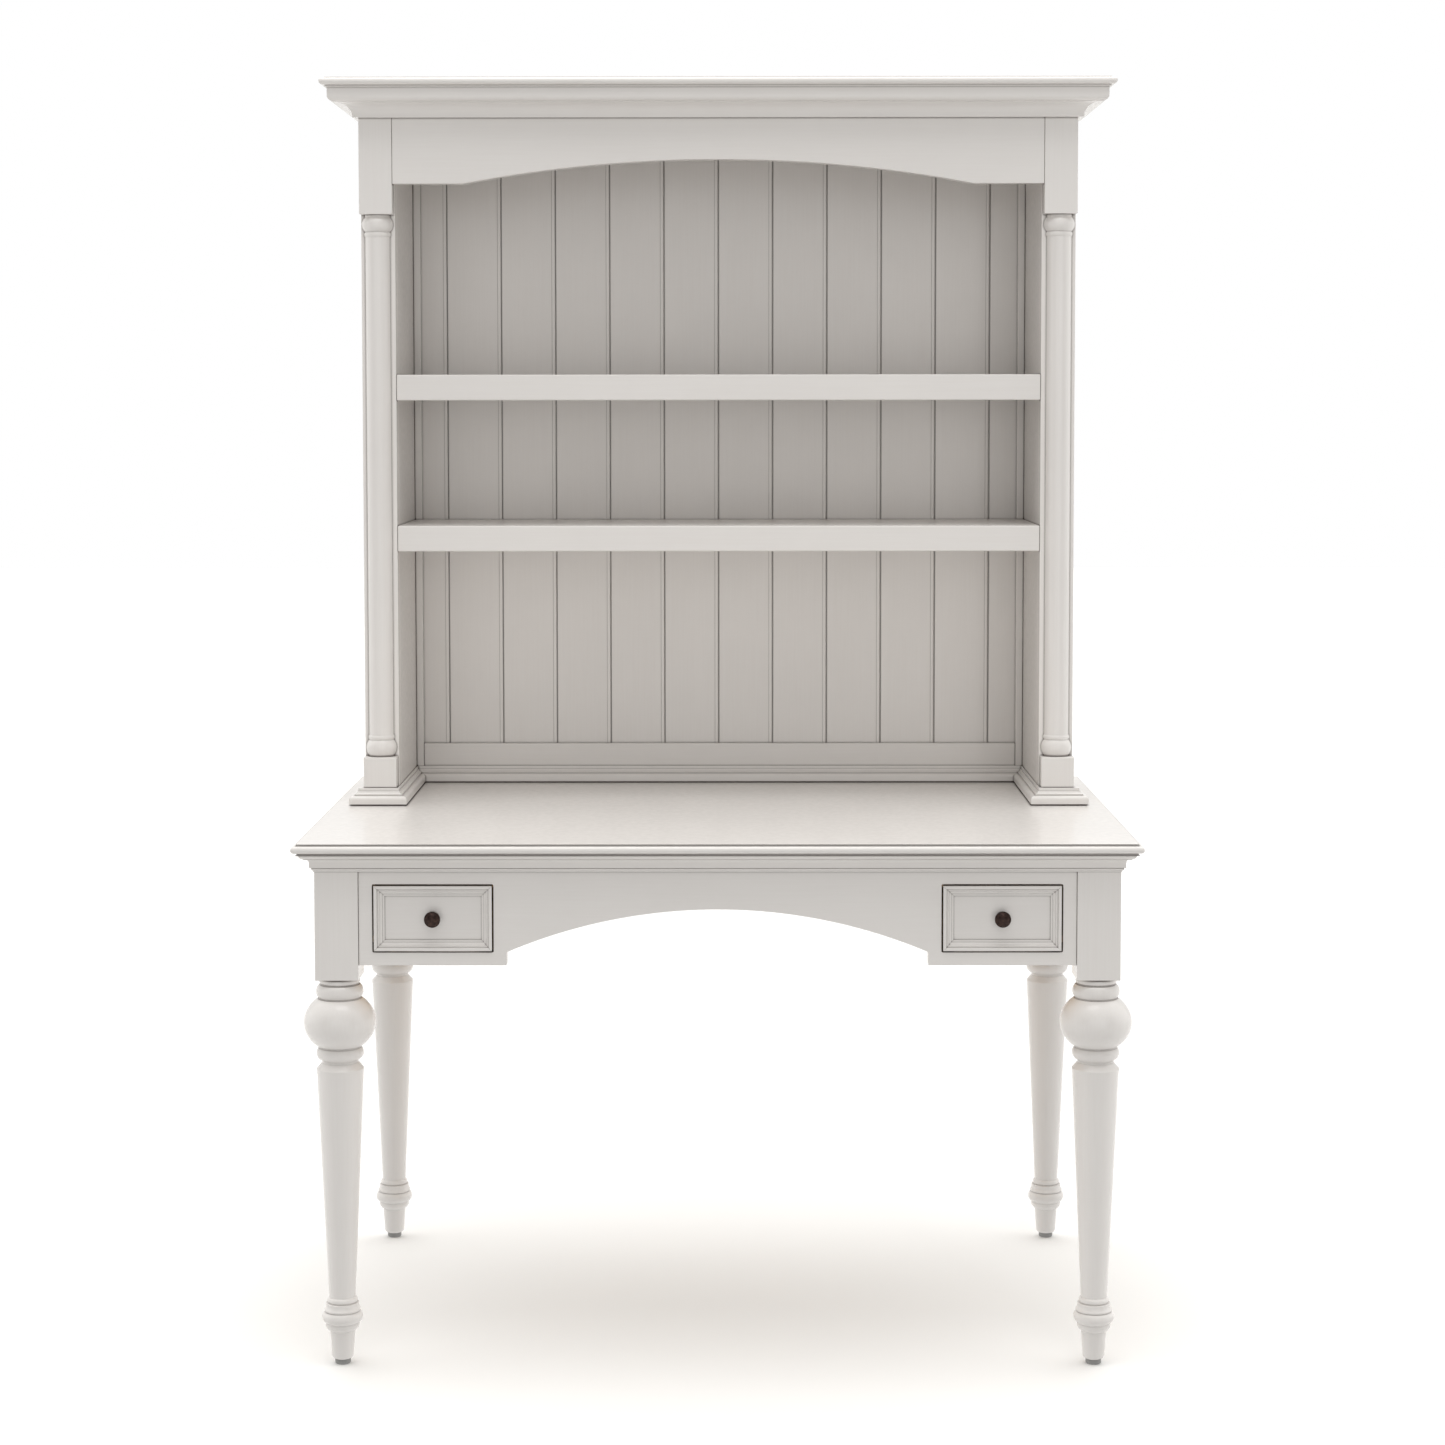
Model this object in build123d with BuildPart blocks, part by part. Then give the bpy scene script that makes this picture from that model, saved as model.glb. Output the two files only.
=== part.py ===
"""Painted writing desk with two small drawers, and the open hutch that stands on its top.

Millimetres, +Z up. The origin is on the floor, under the middle of the desk. The front faces -Y.
"""

import os
from math import sqrt

from build123d import *

# ---------------------------------------------------------------- driving dimensions
DESK_WIDTH = 1240.0
DESK_DEPTH = 790.0
DESK_HEIGHT = 785.0
HUTCH_HEIGHT = 1148.0

OVERHANG = 30.0          # top board beyond the leg blocks, on all four sides
TOP_THICK = 17.0
NOSE_THICK = 10.5        # rounded nose of the top board, which is the full width and depth
NOSE_ROUND = 5.2
TOP_LIP = 3.0            # step of the top surface above the nose
TOP_LIP_INSET = 8.5
UNDER_INSET = 9.4        # step under the nose
MOULD_DROP = 27.0        # height of the moulding under the top board
MITRE_ROOM = 80.0        # spare length at each end of a moulding, before its mitres are cut

BLOCK = 64.0             # square block at the head of each leg
BLOCK_BOTTOM = 580.0
GLIDE_TOP = 8.0
GLIDE_RADIUS = 11.6

APRON_THICK = 22.0
APRON_SETBACK = 2.0      # apron face behind the block face
APRON_BOTTOM = 602.5
ARCH_HALF_SPAN = 308.5   # half the width of the arch between the drawer sections
ARCH_FOOT = 622.0        # the arch springs from here, above a small vertical step
ARCH_CROWN = 685.0

DRAWER_CENTRE = 416.7    # from the middle of the desk to the middle of a drawer
OPENING_WIDTH = 177.0
OPENING_BOTTOM = 622.0
OPENING_HEIGHT = 100.0
FRONT_GAP = 2.0          # gap all round an inset drawer front
FRONT_THICK = 15.0
PANEL_SETBACK = 6.0      # flat of the drawer front behind the apron face
FRAME_WIDTH = 15.5
FRAME_THICK = 9.5
BOX_WIDTH = 164.0
BOX_LENGTH = 400.0
BOX_BOTTOM = 624.4
BOX_TOP = 702.0
BOX_BOARD = 12.0
BOTTOM_THICK = 5.0
BOTTOM_RISE = 8.0        # underside of the bottom above the foot of the sides
GROOVE_DEPTH = 5.0
FIT_GAP = 0.2            # play of a board in its groove, each way
SLIDE_GAP = 0.4          # play between a drawer and its guides
GUIDE_WALL = 9.0
GUIDE_LIP = 15.0
GUIDE_LIP_THICK = 12.0
STOP_SIZE = (11.0, 20.0, 20.0)
STOP_INSET = 1.0         # side of a stop inside the side of the drawer
KNOB_RADIUS = 12.0
KNOB_LENGTH = 24.0

SIDE_INNER = 513.0       # inner face of a hutch side
SIDE_OUTER = 567.0       # outer face of a hutch side
STILE_FRONT = 64.0       # front face of the stiles, and of the shelves
STILE_DEPTH = 26.0
BACK_REAR = 348.0        # rear face of the hutch
BOARD_THICK = 12.0
PANEL_THICK = 12.0
HUTCH_TOP_THICK = 20.0
COLUMN_BLOCK = 52.3
COLUMN_PROJECTION = 26.0
UPPER_BLOCK_FOOT = 938.0  # above the desk top, like the other hutch heights
LOWER_BLOCK_HEAD = 75.6
PLINTH_HEIGHT = 27.0
PLINTH_FRONT = 21.6
PLINTH_OUTER = 589.0
PLINTH_INNER = 497.0
PLINTH_GAP = 2.2         # shadow gap under the plinth's edge
PLINTH_GAP_DEPTH = 3.0
BACK_PLINTH_DEPTH = 16.0
VALANCE_FOOT = 985.5
VALANCE_THICK = 20.0
VALANCE_SETBACK = 1.0    # valance behind the face of the column blocks
VALANCE_ARCH_HALF = 403.0
VALANCE_ARCH_RISE = 38.0
CORNICE_HEIGHT = 59.5
SHELF_TOPS = {"upper": 685.5, "lower": 444.5}
SHELF_THICK = 22.0
LIPPING_HEIGHT = 41.0
LIPPING_DEPTH = 22.0
LIPPING_ROUND = 2.0
BOARD_PITCH = 91.2
INNER_JOINTS = range(-5, 6)  # joints between the back boards, counted from the middle
RAIL_HEIGHT = 65.0
RAIL_FRONT = 327.0
BATTEN = 12.0
QUIRK = 1.6              # width of the sunk line between a bead and the joint
TONGUE_DEPTH = 1.0       # bottom of the joint behind the foot of the bead
BEAD = 5.6               # width of the bead beside each joint of the back boards
BEAD_LINE = 0.7          # width and depth of the fine line on a bead's other side

DOWEL_RADIUS = 5.0
DOWEL_HALF = 22.0
DOWEL_HEIGHTS = (640.0, 735.0)
DOWEL_STAGGER = 14.0     # keeps the dowels of the two aprons of a leg clear of each other
SHELF_DOWEL_RADIUS = 4.0
SHELF_DOWEL_REACH = 20.0
SHELF_DOWEL_INSET = 60.0
BRACKET_LEG = 20.0
BRACKET_WIDTH = 24.0
BRACKET_THICK = 2.0
BRACKET_X = 220.0        # brackets of the front and rear aprons, from the middle of the desk
SCREW_RADIUS = 1.8
SCREW_LENGTH = 12.0
SCREW_HEAD_RADIUS = 3.5
SCREW_HEAD = 1.6

# ---------------------------------------------------------------- places worked out from them
LEG_X = DESK_WIDTH / 2 - OVERHANG - BLOCK / 2
LEG_Y = DESK_DEPTH / 2 - OVERHANG - BLOCK / 2
FACE_X = LEG_X + BLOCK / 2
FACE_Y = LEG_Y + BLOCK / 2
BLOCK_TOP = DESK_HEIGHT - TOP_THICK
APRON_X = FACE_X - APRON_SETBACK
APRON_Y = FACE_Y - APRON_SETBACK
RUN_X = LEG_X - BLOCK / 2
RUN_Y = LEG_Y - BLOCK / 2
BOX_FRONT = -APRON_Y + PANEL_SETBACK + FRONT_THICK
BOX_REAR = BOX_FRONT + BOX_LENGTH
FRONT_SIZE = (OPENING_WIDTH - 2 * FRONT_GAP, OPENING_HEIGHT - 2 * FRONT_GAP)
FRONT_MIDDLE = OPENING_BOTTOM + OPENING_HEIGHT / 2
COLUMN_FACE = STILE_FRONT - COLUMN_PROJECTION
COLUMN_OUTER = SIDE_OUTER
COLUMN_INNER = COLUMN_OUTER - COLUMN_BLOCK
COLUMN_CENTRE = COLUMN_OUTER - COLUMN_BLOCK / 2
CARCASE_TOP = DESK_HEIGHT + HUTCH_HEIGHT - HUTCH_TOP_THICK
BOARD_FRONT = BACK_REAR - BOARD_THICK
BACK_PLINTH_FRONT = RAIL_FRONT - BACK_PLINTH_DEPTH
SHELF_DOWEL_DEPTHS = (STILE_FRONT + SHELF_DOWEL_INSET, RAIL_FRONT - SHELF_DOWEL_INSET)

SIDES = {"left": -1, "right": 1}
UP = Vector(0, 0, 1)

os.makedirs("parts", exist_ok=True)


def save(part, label):
    """Name a finished piece and write it."""
    part.label = label
    export_step(part, f"parts/{label}.step")


def box(low, high):
    """Add a block between two corners to the part under construction."""
    size = [b - a for a, b in zip(low, high)]
    middle = [(a + b) / 2 for a, b in zip(low, high)]
    with Locations(tuple(middle)):
        Box(*size)


def cut_box(low, high):
    """Take a block between two corners out of the part under construction."""
    size = [b - a for a, b in zip(low, high)]
    middle = [(a + b) / 2 for a, b in zip(low, high)]
    with Locations(tuple(middle)):
        Box(*size, mode=Mode.SUBTRACT)


def mirrored(low, high, side):
    """The two corners of a block on the +X side, moved to the named side."""
    xs = sorted((side * low[0], side * high[0]))
    return (xs[0], low[1], low[2]), (xs[1], high[1], high[2])


def rod(start, direction, radius, length, mode=Mode.ADD):
    """A cylinder from a point along a direction."""
    plane = Plane(origin=start, z_dir=direction)
    with BuildSketch(plane) as section:
        Circle(radius)
    extrude(section.sketch, amount=length, mode=mode)


# ---------------------------------------------------------------- mouldings
def moulding_run(draw_profile, start, end, outward, start_mitre, end_mitre):
    """A straight moulding between two corners of the face that it is planted on.

    A mitre of 1 turns an outside corner, -1 an inside corner, and 0 is a square end.
    """
    first = Vector(*start)
    last = Vector(*end)
    out = Vector(*outward)
    along = (last - first).normalized()
    plane = Plane(origin=(first + last) / 2, x_dir=out, z_dir=out.cross(UP))
    with BuildPart() as run:
        with BuildSketch(plane):
            with BuildLine():
                draw_profile()
            make_face()
        extrude(amount=(last - first).length / 2 + MITRE_ROOM, both=True)
        split(bisect_by=Plane(origin=first, z_dir=-along - out * start_mitre), keep=Keep.BOTTOM)
        split(bisect_by=Plane(origin=last, z_dir=along - out * end_mitre), keep=Keep.BOTTOM)
    return run.part


def desk_profile():
    """Ovolo, fillet, cove and bead, hanging from the underside of the top board."""
    Line((0, 0), (20, 0))
    ThreePointArc((20, 0), (18.24, -4.24), (14, -6))
    Polyline((14, -6), (14, -7.5), (9.2, -7.5))
    ThreePointArc((9.2, -7.5), (7.1, -10), (6.2, -14))
    Polyline((6.2, -14), (6.2, -20.5), (3, -20.5))
    ThreePointArc((3, -20.5), (3.6, -22.8), (1.2, -25))
    Polyline((1.2, -25), (1.2, -MOULD_DROP), (0, -MOULD_DROP), (0, 0))


def cornice_profile():
    """Nosing, fascia and a large cove, hanging from the top of the hutch."""
    Polyline((0, 0), (46.5, 0), (46.5, -1.5), (49, -1.5))
    ThreePointArc((49, -1.5), (54.5, -7), (49, -12.5))
    Polyline((49, -12.5), (46, -12.5), (46, -15.5), (43.2, -15.5), (43.2, -29))
    ThreePointArc((43.2, -29), (41, -34.3), (35.7, -36.5))
    Polyline((35.7, -36.5), (35.7, -37.5), (29, -37.5))
    ThreePointArc((29, -37.5), (14.15, -43.65), (8, -58.5))
    Polyline((8, -58.5), (8, -CORNICE_HEIGHT), (0, -CORNICE_HEIGHT), (0, 0))


def plinth_profile(depth):
    """A tall rounded base with two small steps above it, standing on the desk top."""
    def draw():
        Polyline((-depth, 0), (-PLINTH_GAP_DEPTH, 0), (-PLINTH_GAP_DEPTH, PLINTH_GAP), (0, PLINTH_GAP))
        Line((0, PLINTH_GAP), (0, 9.5))
        ThreePointArc((0, 9.5), (-1.6, 13.4), (-5.5, 15))
        Polyline((-5.5, 15), (-8, 15), (-8, 18))
        ThreePointArc((-8, 18), (-10.9, 19.2), (-12, 22))
        Polyline((-12, 22), (-13.5, 22), (-13.5, PLINTH_HEIGHT), (-depth, PLINTH_HEIGHT), (-depth, 0))
    return draw


# ---------------------------------------------------------------- desk top and its moulding
def bracket_places():
    """Inner corner of every bracket, and the direction its flat leg points in."""
    inner_x = APRON_X - APRON_THICK
    inner_y = APRON_Y - APRON_THICK
    places = []
    for side in (-1, 1):
        places.append(((side * BRACKET_X, -inner_y, BLOCK_TOP), (0, 1, 0)))
        places.append(((side * BRACKET_X, inner_y, BLOCK_TOP), (0, -1, 0)))
        places.append(((side * inner_x, 0, BLOCK_TOP), (-side, 0, 0)))
        places.append(((side * (SIDE_INNER + SIDE_OUTER) / 2, BACK_REAR, DESK_HEIGHT), (0, 1, 0)))
    return places


def screw_places():
    """Foot and direction of every screw that holds a steel bracket."""
    half = BRACKET_LEG / 2 + BRACKET_THICK / 2
    places = []
    for point, out in bracket_places():
        corner = Vector(*point)
        wall = Vector(*out)
        vertical = -UP if corner.Z < DESK_HEIGHT else UP
        places.append((corner + vertical * half + wall * BRACKET_THICK, -wall))
        places.append((corner + wall * half + vertical * BRACKET_THICK, -vertical))
    return places


def drill_screws():
    """Pilot holes for the bracket screws, in the part under construction."""
    for foot, direction in screw_places():
        rod(foot, direction, SCREW_RADIUS, SCREW_LENGTH, mode=Mode.SUBTRACT)


with BuildPart() as desk_top:
    with BuildSketch(Plane.XY.offset(BLOCK_TOP)):
        Rectangle(DESK_WIDTH - 2 * UNDER_INSET, DESK_DEPTH - 2 * UNDER_INSET)
    extrude(amount=TOP_THICK - NOSE_THICK - TOP_LIP)
    with BuildSketch(Plane.XY.offset(DESK_HEIGHT - TOP_LIP - NOSE_THICK)):
        Rectangle(DESK_WIDTH, DESK_DEPTH)
    extrude(amount=NOSE_THICK)
    outline = (DESK_WIDTH / 2 - 0.01, DESK_DEPTH / 2 - 0.01)
    rim = desk_top.edges().filter_by(Axis.Z, reverse=True).filter_by(
        lambda edge: abs(edge.center().X) > outline[0] or abs(edge.center().Y) > outline[1])
    fillet(rim, radius=NOSE_ROUND)
    with BuildSketch(Plane.XY.offset(DESK_HEIGHT - TOP_LIP)):
        Rectangle(DESK_WIDTH - 2 * TOP_LIP_INSET, DESK_DEPTH - 2 * TOP_LIP_INSET)
    extrude(amount=TOP_LIP)
    drill_screws()
save(desk_top.part, "desk_top")

mould_corners = {
    "front": ((-FACE_X, -FACE_Y), (FACE_X, -FACE_Y), (0, -1, 0)),
    "rear": ((FACE_X, FACE_Y), (-FACE_X, FACE_Y), (0, 1, 0)),
    "left": ((-FACE_X, FACE_Y), (-FACE_X, -FACE_Y), (-1, 0, 0)),
    "right": ((FACE_X, -FACE_Y), (FACE_X, FACE_Y), (1, 0, 0)),
}
for place, (first, last, outward) in mould_corners.items():
    run = moulding_run(desk_profile, (*first, BLOCK_TOP), (*last, BLOCK_TOP), outward, 1, 1)
    save(run, f"desk_moulding_{place}")


# ---------------------------------------------------------------- legs
def leg_outline():
    """Half outline of the turned part, from the block down to the foot."""
    Line((0, BLOCK_BOTTOM), (27.2, BLOCK_BOTTOM))
    ThreePointArc((27.2, BLOCK_BOTTOM), (30.2, 575.4), (28.2, 570.8))
    Polyline((28.2, 570.8), (28.2, 569.8), (30.6, 569.4))
    ThreePointArc((30.6, 569.4), (35, 559.8), (31.4, 550.4))
    Polyline((31.4, 550.4), (31.4, 549), (32.8, 549))
    ThreePointArc((32.8, 549), (42.9, 540), (49.8, 529))
    ThreePointArc((49.8, 529), (53, 513.5), (49.8, 498))
    ThreePointArc((49.8, 498), (42.9, 487), (32.8, 478))
    Polyline((32.8, 478), (31.2, 477.6), (31.2, 476.2))
    ThreePointArc((31.2, 476.2), (34.9, 467.2), (28.6, 457.6))
    Polyline((28.6, 457.6), (27, 456.4), (26.6, 453.8), (34.8, 444.4), (34.8, 441.6), (34.4, 438.5))
    Line((34.4, 438.5), (19.4, 101))
    ThreePointArc((19.4, 101), (22.3, 97), (21.6, 92.8))
    Polyline((21.6, 92.8), (24.4, 91.8), (24.4, 88.8))
    ThreePointArc((24.4, 88.8), (25.2, 85.6), (27, 82.7))
    Polyline((27, 82.7), (26.6, 80.4), (25.6, 79.7))
    ThreePointArc((25.6, 79.7), (29.9, 73.2), (24.6, 62.4))
    Line((24.6, 62.4), (24.6, 61.6))
    ThreePointArc((24.6, 61.6), (24.4, 56.4), (19, 50.4))
    Polyline((19, 50.4), (18.6, 49.5), (16.2, 14))
    ThreePointArc((16.2, 14), (15.2, 10.4), (12.4, GLIDE_TOP))
    Polyline((12.4, GLIDE_TOP), (0, GLIDE_TOP), (0, BLOCK_BOTTOM))


def dowel_places(side_x, side_y):
    """Middle and direction of the dowels that join one leg to its two aprons."""
    front_middle = side_y * (APRON_Y - APRON_THICK / 2)
    side_middle = side_x * (APRON_X - APRON_THICK / 2)
    places = []
    for level, height in enumerate(DOWEL_HEIGHTS):
        places.append(((side_x * RUN_X, front_middle, height), (1, 0, 0)))
        places.append(((side_middle, side_y * RUN_Y, height + DOWEL_STAGGER * (1 - 2 * level)), (0, 1, 0)))
    return places


def dowels(side_x, side_y, mode=Mode.ADD):
    """Dowels at one leg, or the holes for them."""
    for middle, direction in dowel_places(side_x, side_y):
        axis = Vector(*direction)
        rod(Vector(*middle) - axis * DOWEL_HALF, axis, DOWEL_RADIUS, 2 * DOWEL_HALF, mode=mode)


CORNERS = {
    "front_left": (-1, -1),
    "front_right": (1, -1),
    "rear_left": (-1, 1),
    "rear_right": (1, 1),
}
for place, (side_x, side_y) in CORNERS.items():
    axis_plane = Plane(origin=(side_x * LEG_X, side_y * LEG_Y, 0), x_dir=(1, 0, 0), z_dir=(0, -1, 0))
    with BuildPart() as leg:
        with BuildSketch(axis_plane):
            with BuildLine():
                leg_outline()
            make_face()
        revolve(axis=Axis(axis_plane.origin, (0, 0, 1)))
        with BuildSketch(Plane.XY.offset(BLOCK_BOTTOM)):
            with Locations(axis_plane.origin):
                Rectangle(BLOCK, BLOCK)
        extrude(amount=BLOCK_TOP - BLOCK_BOTTOM)
        dowels(side_x, side_y, mode=Mode.SUBTRACT)
    save(leg.part, f"leg_{place}")

with BuildPart() as leg_glides:
    with BuildSketch(Plane.XY):
        with GridLocations(2 * LEG_X, 2 * LEG_Y, 2, 2):
            Circle(GLIDE_RADIUS)
    extrude(amount=GLIDE_TOP)
    chamfer(leg_glides.edges().group_by(Axis.Z)[0], length=1.5)
save(leg_glides.part, "leg_glides")

# ---------------------------------------------------------------- aprons
with BuildPart() as front_apron:
    with BuildSketch(Plane.XZ.offset(APRON_Y)):
        with BuildLine():
            Polyline(
                (ARCH_HALF_SPAN, ARCH_FOOT), (ARCH_HALF_SPAN, APRON_BOTTOM), (RUN_X, APRON_BOTTOM),
                (RUN_X, BLOCK_TOP), (-RUN_X, BLOCK_TOP), (-RUN_X, APRON_BOTTOM),
                (-ARCH_HALF_SPAN, APRON_BOTTOM), (-ARCH_HALF_SPAN, ARCH_FOOT))
            ThreePointArc((-ARCH_HALF_SPAN, ARCH_FOOT), (0, ARCH_CROWN), (ARCH_HALF_SPAN, ARCH_FOOT))
        make_face()
        with Locations((-DRAWER_CENTRE, FRONT_MIDDLE), (DRAWER_CENTRE, FRONT_MIDDLE)):
            Rectangle(OPENING_WIDTH, OPENING_HEIGHT, mode=Mode.SUBTRACT)
    extrude(amount=-APRON_THICK)
    dowels(-1, -1, mode=Mode.SUBTRACT)
    dowels(1, -1, mode=Mode.SUBTRACT)
    drill_screws()
save(front_apron.part, "front_apron")

with BuildPart() as rear_apron:
    box((-RUN_X, APRON_Y - APRON_THICK, APRON_BOTTOM), (RUN_X, APRON_Y, BLOCK_TOP))
    dowels(-1, 1, mode=Mode.SUBTRACT)
    dowels(1, 1, mode=Mode.SUBTRACT)
    drill_screws()
save(rear_apron.part, "rear_apron")

for name, side in SIDES.items():
    with BuildPart() as side_apron:
        box(*mirrored((APRON_X - APRON_THICK, -RUN_Y, APRON_BOTTOM), (APRON_X, RUN_Y, BLOCK_TOP), side))
        dowels(side, -1, mode=Mode.SUBTRACT)
        dowels(side, 1, mode=Mode.SUBTRACT)
        drill_screws()
    save(side_apron.part, f"{name}_apron")

with BuildPart() as apron_dowels:
    for side_x, side_y in CORNERS.values():
        dowels(side_x, side_y)
save(apron_dowels.part, "apron_dowels")


# ---------------------------------------------------------------- drawer guides and stops
def guide_channel(middle, hand):
    """One grooved guide beside a drawer: a wall, a runner below and a kicker above."""
    wall = BOX_WIDTH / 2 + SLIDE_GAP
    inner_y = APRON_Y - APRON_THICK
    low = BOX_BOTTOM - SLIDE_GAP
    high = BOX_TOP + SLIDE_GAP
    xs = sorted((middle + hand * (wall + GUIDE_WALL), middle + hand * (wall - GUIDE_LIP)))
    groove = sorted((middle + hand * wall, middle + hand * (wall - GUIDE_LIP)))
    box((xs[0], -inner_y, low - GUIDE_LIP_THICK), (xs[1], inner_y, high + GUIDE_LIP_THICK))
    cut_box((groove[0], -inner_y, low), (groove[1], inner_y, high))


for name, side in SIDES.items():
    with BuildPart() as guides:
        for hand in (-1, 1):
            guide_channel(side * DRAWER_CENTRE, hand)
    save(guides.part, f"{name}_drawer_guides")

with BuildPart() as drawer_stops:
    for side in (-1, 1):
        for hand in (-1, 1):
            middle_x = side * DRAWER_CENTRE + hand * (BOX_WIDTH / 2 - STOP_SIZE[0] / 2 - STOP_INSET)
            foot = BOX_BOTTOM - SLIDE_GAP
            near = BOX_REAR + SLIDE_GAP
            box((middle_x - STOP_SIZE[0] / 2, near, foot),
                (middle_x + STOP_SIZE[0] / 2, near + STOP_SIZE[1], foot + STOP_SIZE[2]))
save(drawer_stops.part, "drawer_stops")


# ---------------------------------------------------------------- drawers
def frame_profile():
    """Applied moulding round the drawer panel: an outer rim, then two steps down to the panel."""
    Polyline((0, 0), (FRAME_THICK - 1, 0))
    ThreePointArc((FRAME_THICK - 1, 0), (FRAME_THICK, 2.4), (FRAME_THICK - 1, 4.8))
    Polyline((FRAME_THICK - 1, 4.8), (6.5, 4.8), (6.5, 8))
    ThreePointArc((6.5, 8), (3.9, 9.2), (2.8, 12))
    Polyline((2.8, 12), (1.6, 12), (1.6, FRAME_WIDTH), (0, FRAME_WIDTH), (0, 0))


def frame_strip(middle, face_y, half_wide, half_high, inward):
    """One mitred strip of the frame, along the edge of the front that lies opposite to inward."""
    towards = Vector(*inward)
    edge = Vector(middle, face_y, FRONT_MIDDLE) - Vector(towards.X * half_wide, 0, towards.Z * half_high)
    plane = Plane(origin=edge, x_dir=(0, -1, 0), z_dir=Vector(0, -1, 0).cross(towards))
    run = plane.z_dir
    half = half_high if abs(towards.X) > 0.5 else half_wide
    with BuildPart() as strip:
        with BuildSketch(plane):
            with BuildLine():
                frame_profile()
            make_face()
        extrude(amount=half, both=True)
        split(bisect_by=Plane(origin=edge + run * half, z_dir=run + towards), keep=Keep.BOTTOM)
        split(bisect_by=Plane(origin=edge - run * half, z_dir=towards - run), keep=Keep.BOTTOM)
    return strip.part


for name, side in SIDES.items():
    middle = side * DRAWER_CENTRE
    panel_y = -APRON_Y + PANEL_SETBACK
    half_wide = FRONT_SIZE[0] / 2
    half_high = FRONT_SIZE[1] / 2

    with BuildPart() as front:
        box((middle - half_wide, panel_y, FRONT_MIDDLE - half_high),
            (middle + half_wide, BOX_FRONT, FRONT_MIDDLE + half_high))
        rod((middle, panel_y, FRONT_MIDDLE), (0, 1, 0), SCREW_RADIUS, FRONT_THICK, mode=Mode.SUBTRACT)
    save(front.part, f"{name}_drawer_front")

    strips = [frame_strip(middle, panel_y, half_wide, half_high, inward)
              for inward in ((1, 0, 0), (-1, 0, 0), (0, 0, 1), (0, 0, -1))]
    save(Compound(children=strips), f"{name}_drawer_frame")

    with BuildPart() as drawer_box:
        bottom_low = BOX_BOTTOM + BOTTOM_RISE
        for hand in (-1, 1):
            outer = middle + hand * BOX_WIDTH / 2
            inner = middle + hand * (BOX_WIDTH / 2 - BOX_BOARD)
            xs = sorted((outer, inner))
            box((xs[0], BOX_FRONT, BOX_BOTTOM), (xs[1], BOX_REAR, BOX_TOP))
        inside = BOX_WIDTH / 2 - BOX_BOARD
        groove_half = inside + GROOVE_DEPTH
        cut_box((middle - groove_half, BOX_FRONT, bottom_low - FIT_GAP),
                (middle + groove_half, BOX_REAR, bottom_low + BOTTOM_THICK + FIT_GAP))
        box((middle - inside, BOX_REAR - BOX_BOARD, bottom_low + BOTTOM_THICK + FIT_GAP),
            (middle + inside, BOX_REAR, BOX_TOP))
    save(drawer_box.part, f"{name}_drawer_box")

    with BuildPart() as drawer_bottom:
        reach = groove_half - FIT_GAP
        box((middle - reach, BOX_FRONT, bottom_low), (middle + reach, BOX_REAR, bottom_low + BOTTOM_THICK))
    save(drawer_bottom.part, f"{name}_drawer_bottom")

    dome_height = KNOB_LENGTH - 19.4
    dome_radius = (9.8 ** 2 + dome_height ** 2) / (2 * dome_height)
    dome_side = dome_radius - KNOB_LENGTH - sqrt(dome_radius ** 2 - 5.6 ** 2)
    knob_plane = Plane(origin=(middle, panel_y, FRONT_MIDDLE), x_dir=(1, 0, 0), z_dir=(0, 0, 1))
    with BuildPart() as knob:
        with BuildSketch(knob_plane):
            with BuildLine():
                Polyline((0, 0), (8.5, 0), (8.5, -1.6))
                ThreePointArc((8.5, -1.6), (5.6, -3.6), (4.8, -7))
                ThreePointArc((4.8, -7), (6.2, -12), (9.8, -13.6))
                ThreePointArc((9.8, -13.6), (KNOB_RADIUS, -16.6), (9.8, -19.4))
                ThreePointArc((9.8, -19.4), (5.6, dome_side), (0, -KNOB_LENGTH))
                Line((0, -KNOB_LENGTH), (0, 0))
            make_face()
        revolve(axis=Axis(knob_plane.origin, (0, 1, 0)))
        rod(knob_plane.origin, (0, -1, 0), SCREW_RADIUS, SCREW_LENGTH, mode=Mode.SUBTRACT)
    save(knob.part, f"{name}_drawer_knob")

    with BuildPart() as knob_screw:
        rod((middle, BOX_FRONT, FRONT_MIDDLE), (0, -1, 0), SCREW_RADIUS, FRONT_THICK + SCREW_LENGTH)
        rod((middle, BOX_FRONT, FRONT_MIDDLE), (0, 1, 0), 2 * SCREW_RADIUS, SCREW_HEAD)
    save(knob_screw.part, f"{name}_knob_screw")


# ---------------------------------------------------------------- hutch sides
def column_outline():
    """Half outline of the turned column between its two square blocks."""
    low = DESK_HEIGHT + LOWER_BLOCK_HEAD
    high = DESK_HEIGHT + UPPER_BLOCK_FOOT
    Polyline((0, high), (20, high), (20, high - 4))
    ThreePointArc((20, high - 4), (24.8, high - 15), (20.5, high - 26))
    Line((20.5, high - 26), (19.6, high - 27))
    ThreePointArc((19.6, high - 27), (21.2, high - 31), (19.6, high - 35))
    Line((19.6, high - 35), (19.6, low + 34.5))
    ThreePointArc((19.6, low + 34.5), (21, low + 30.5), (19.6, low + 26.5))
    Line((19.6, low + 26.5), (20.5, low + 25.5))
    ThreePointArc((20.5, low + 25.5), (24.3, low + 13.5), (20, low + 1.6))
    Polyline((20, low + 1.6), (20, low), (0, low), (0, high))


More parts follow.
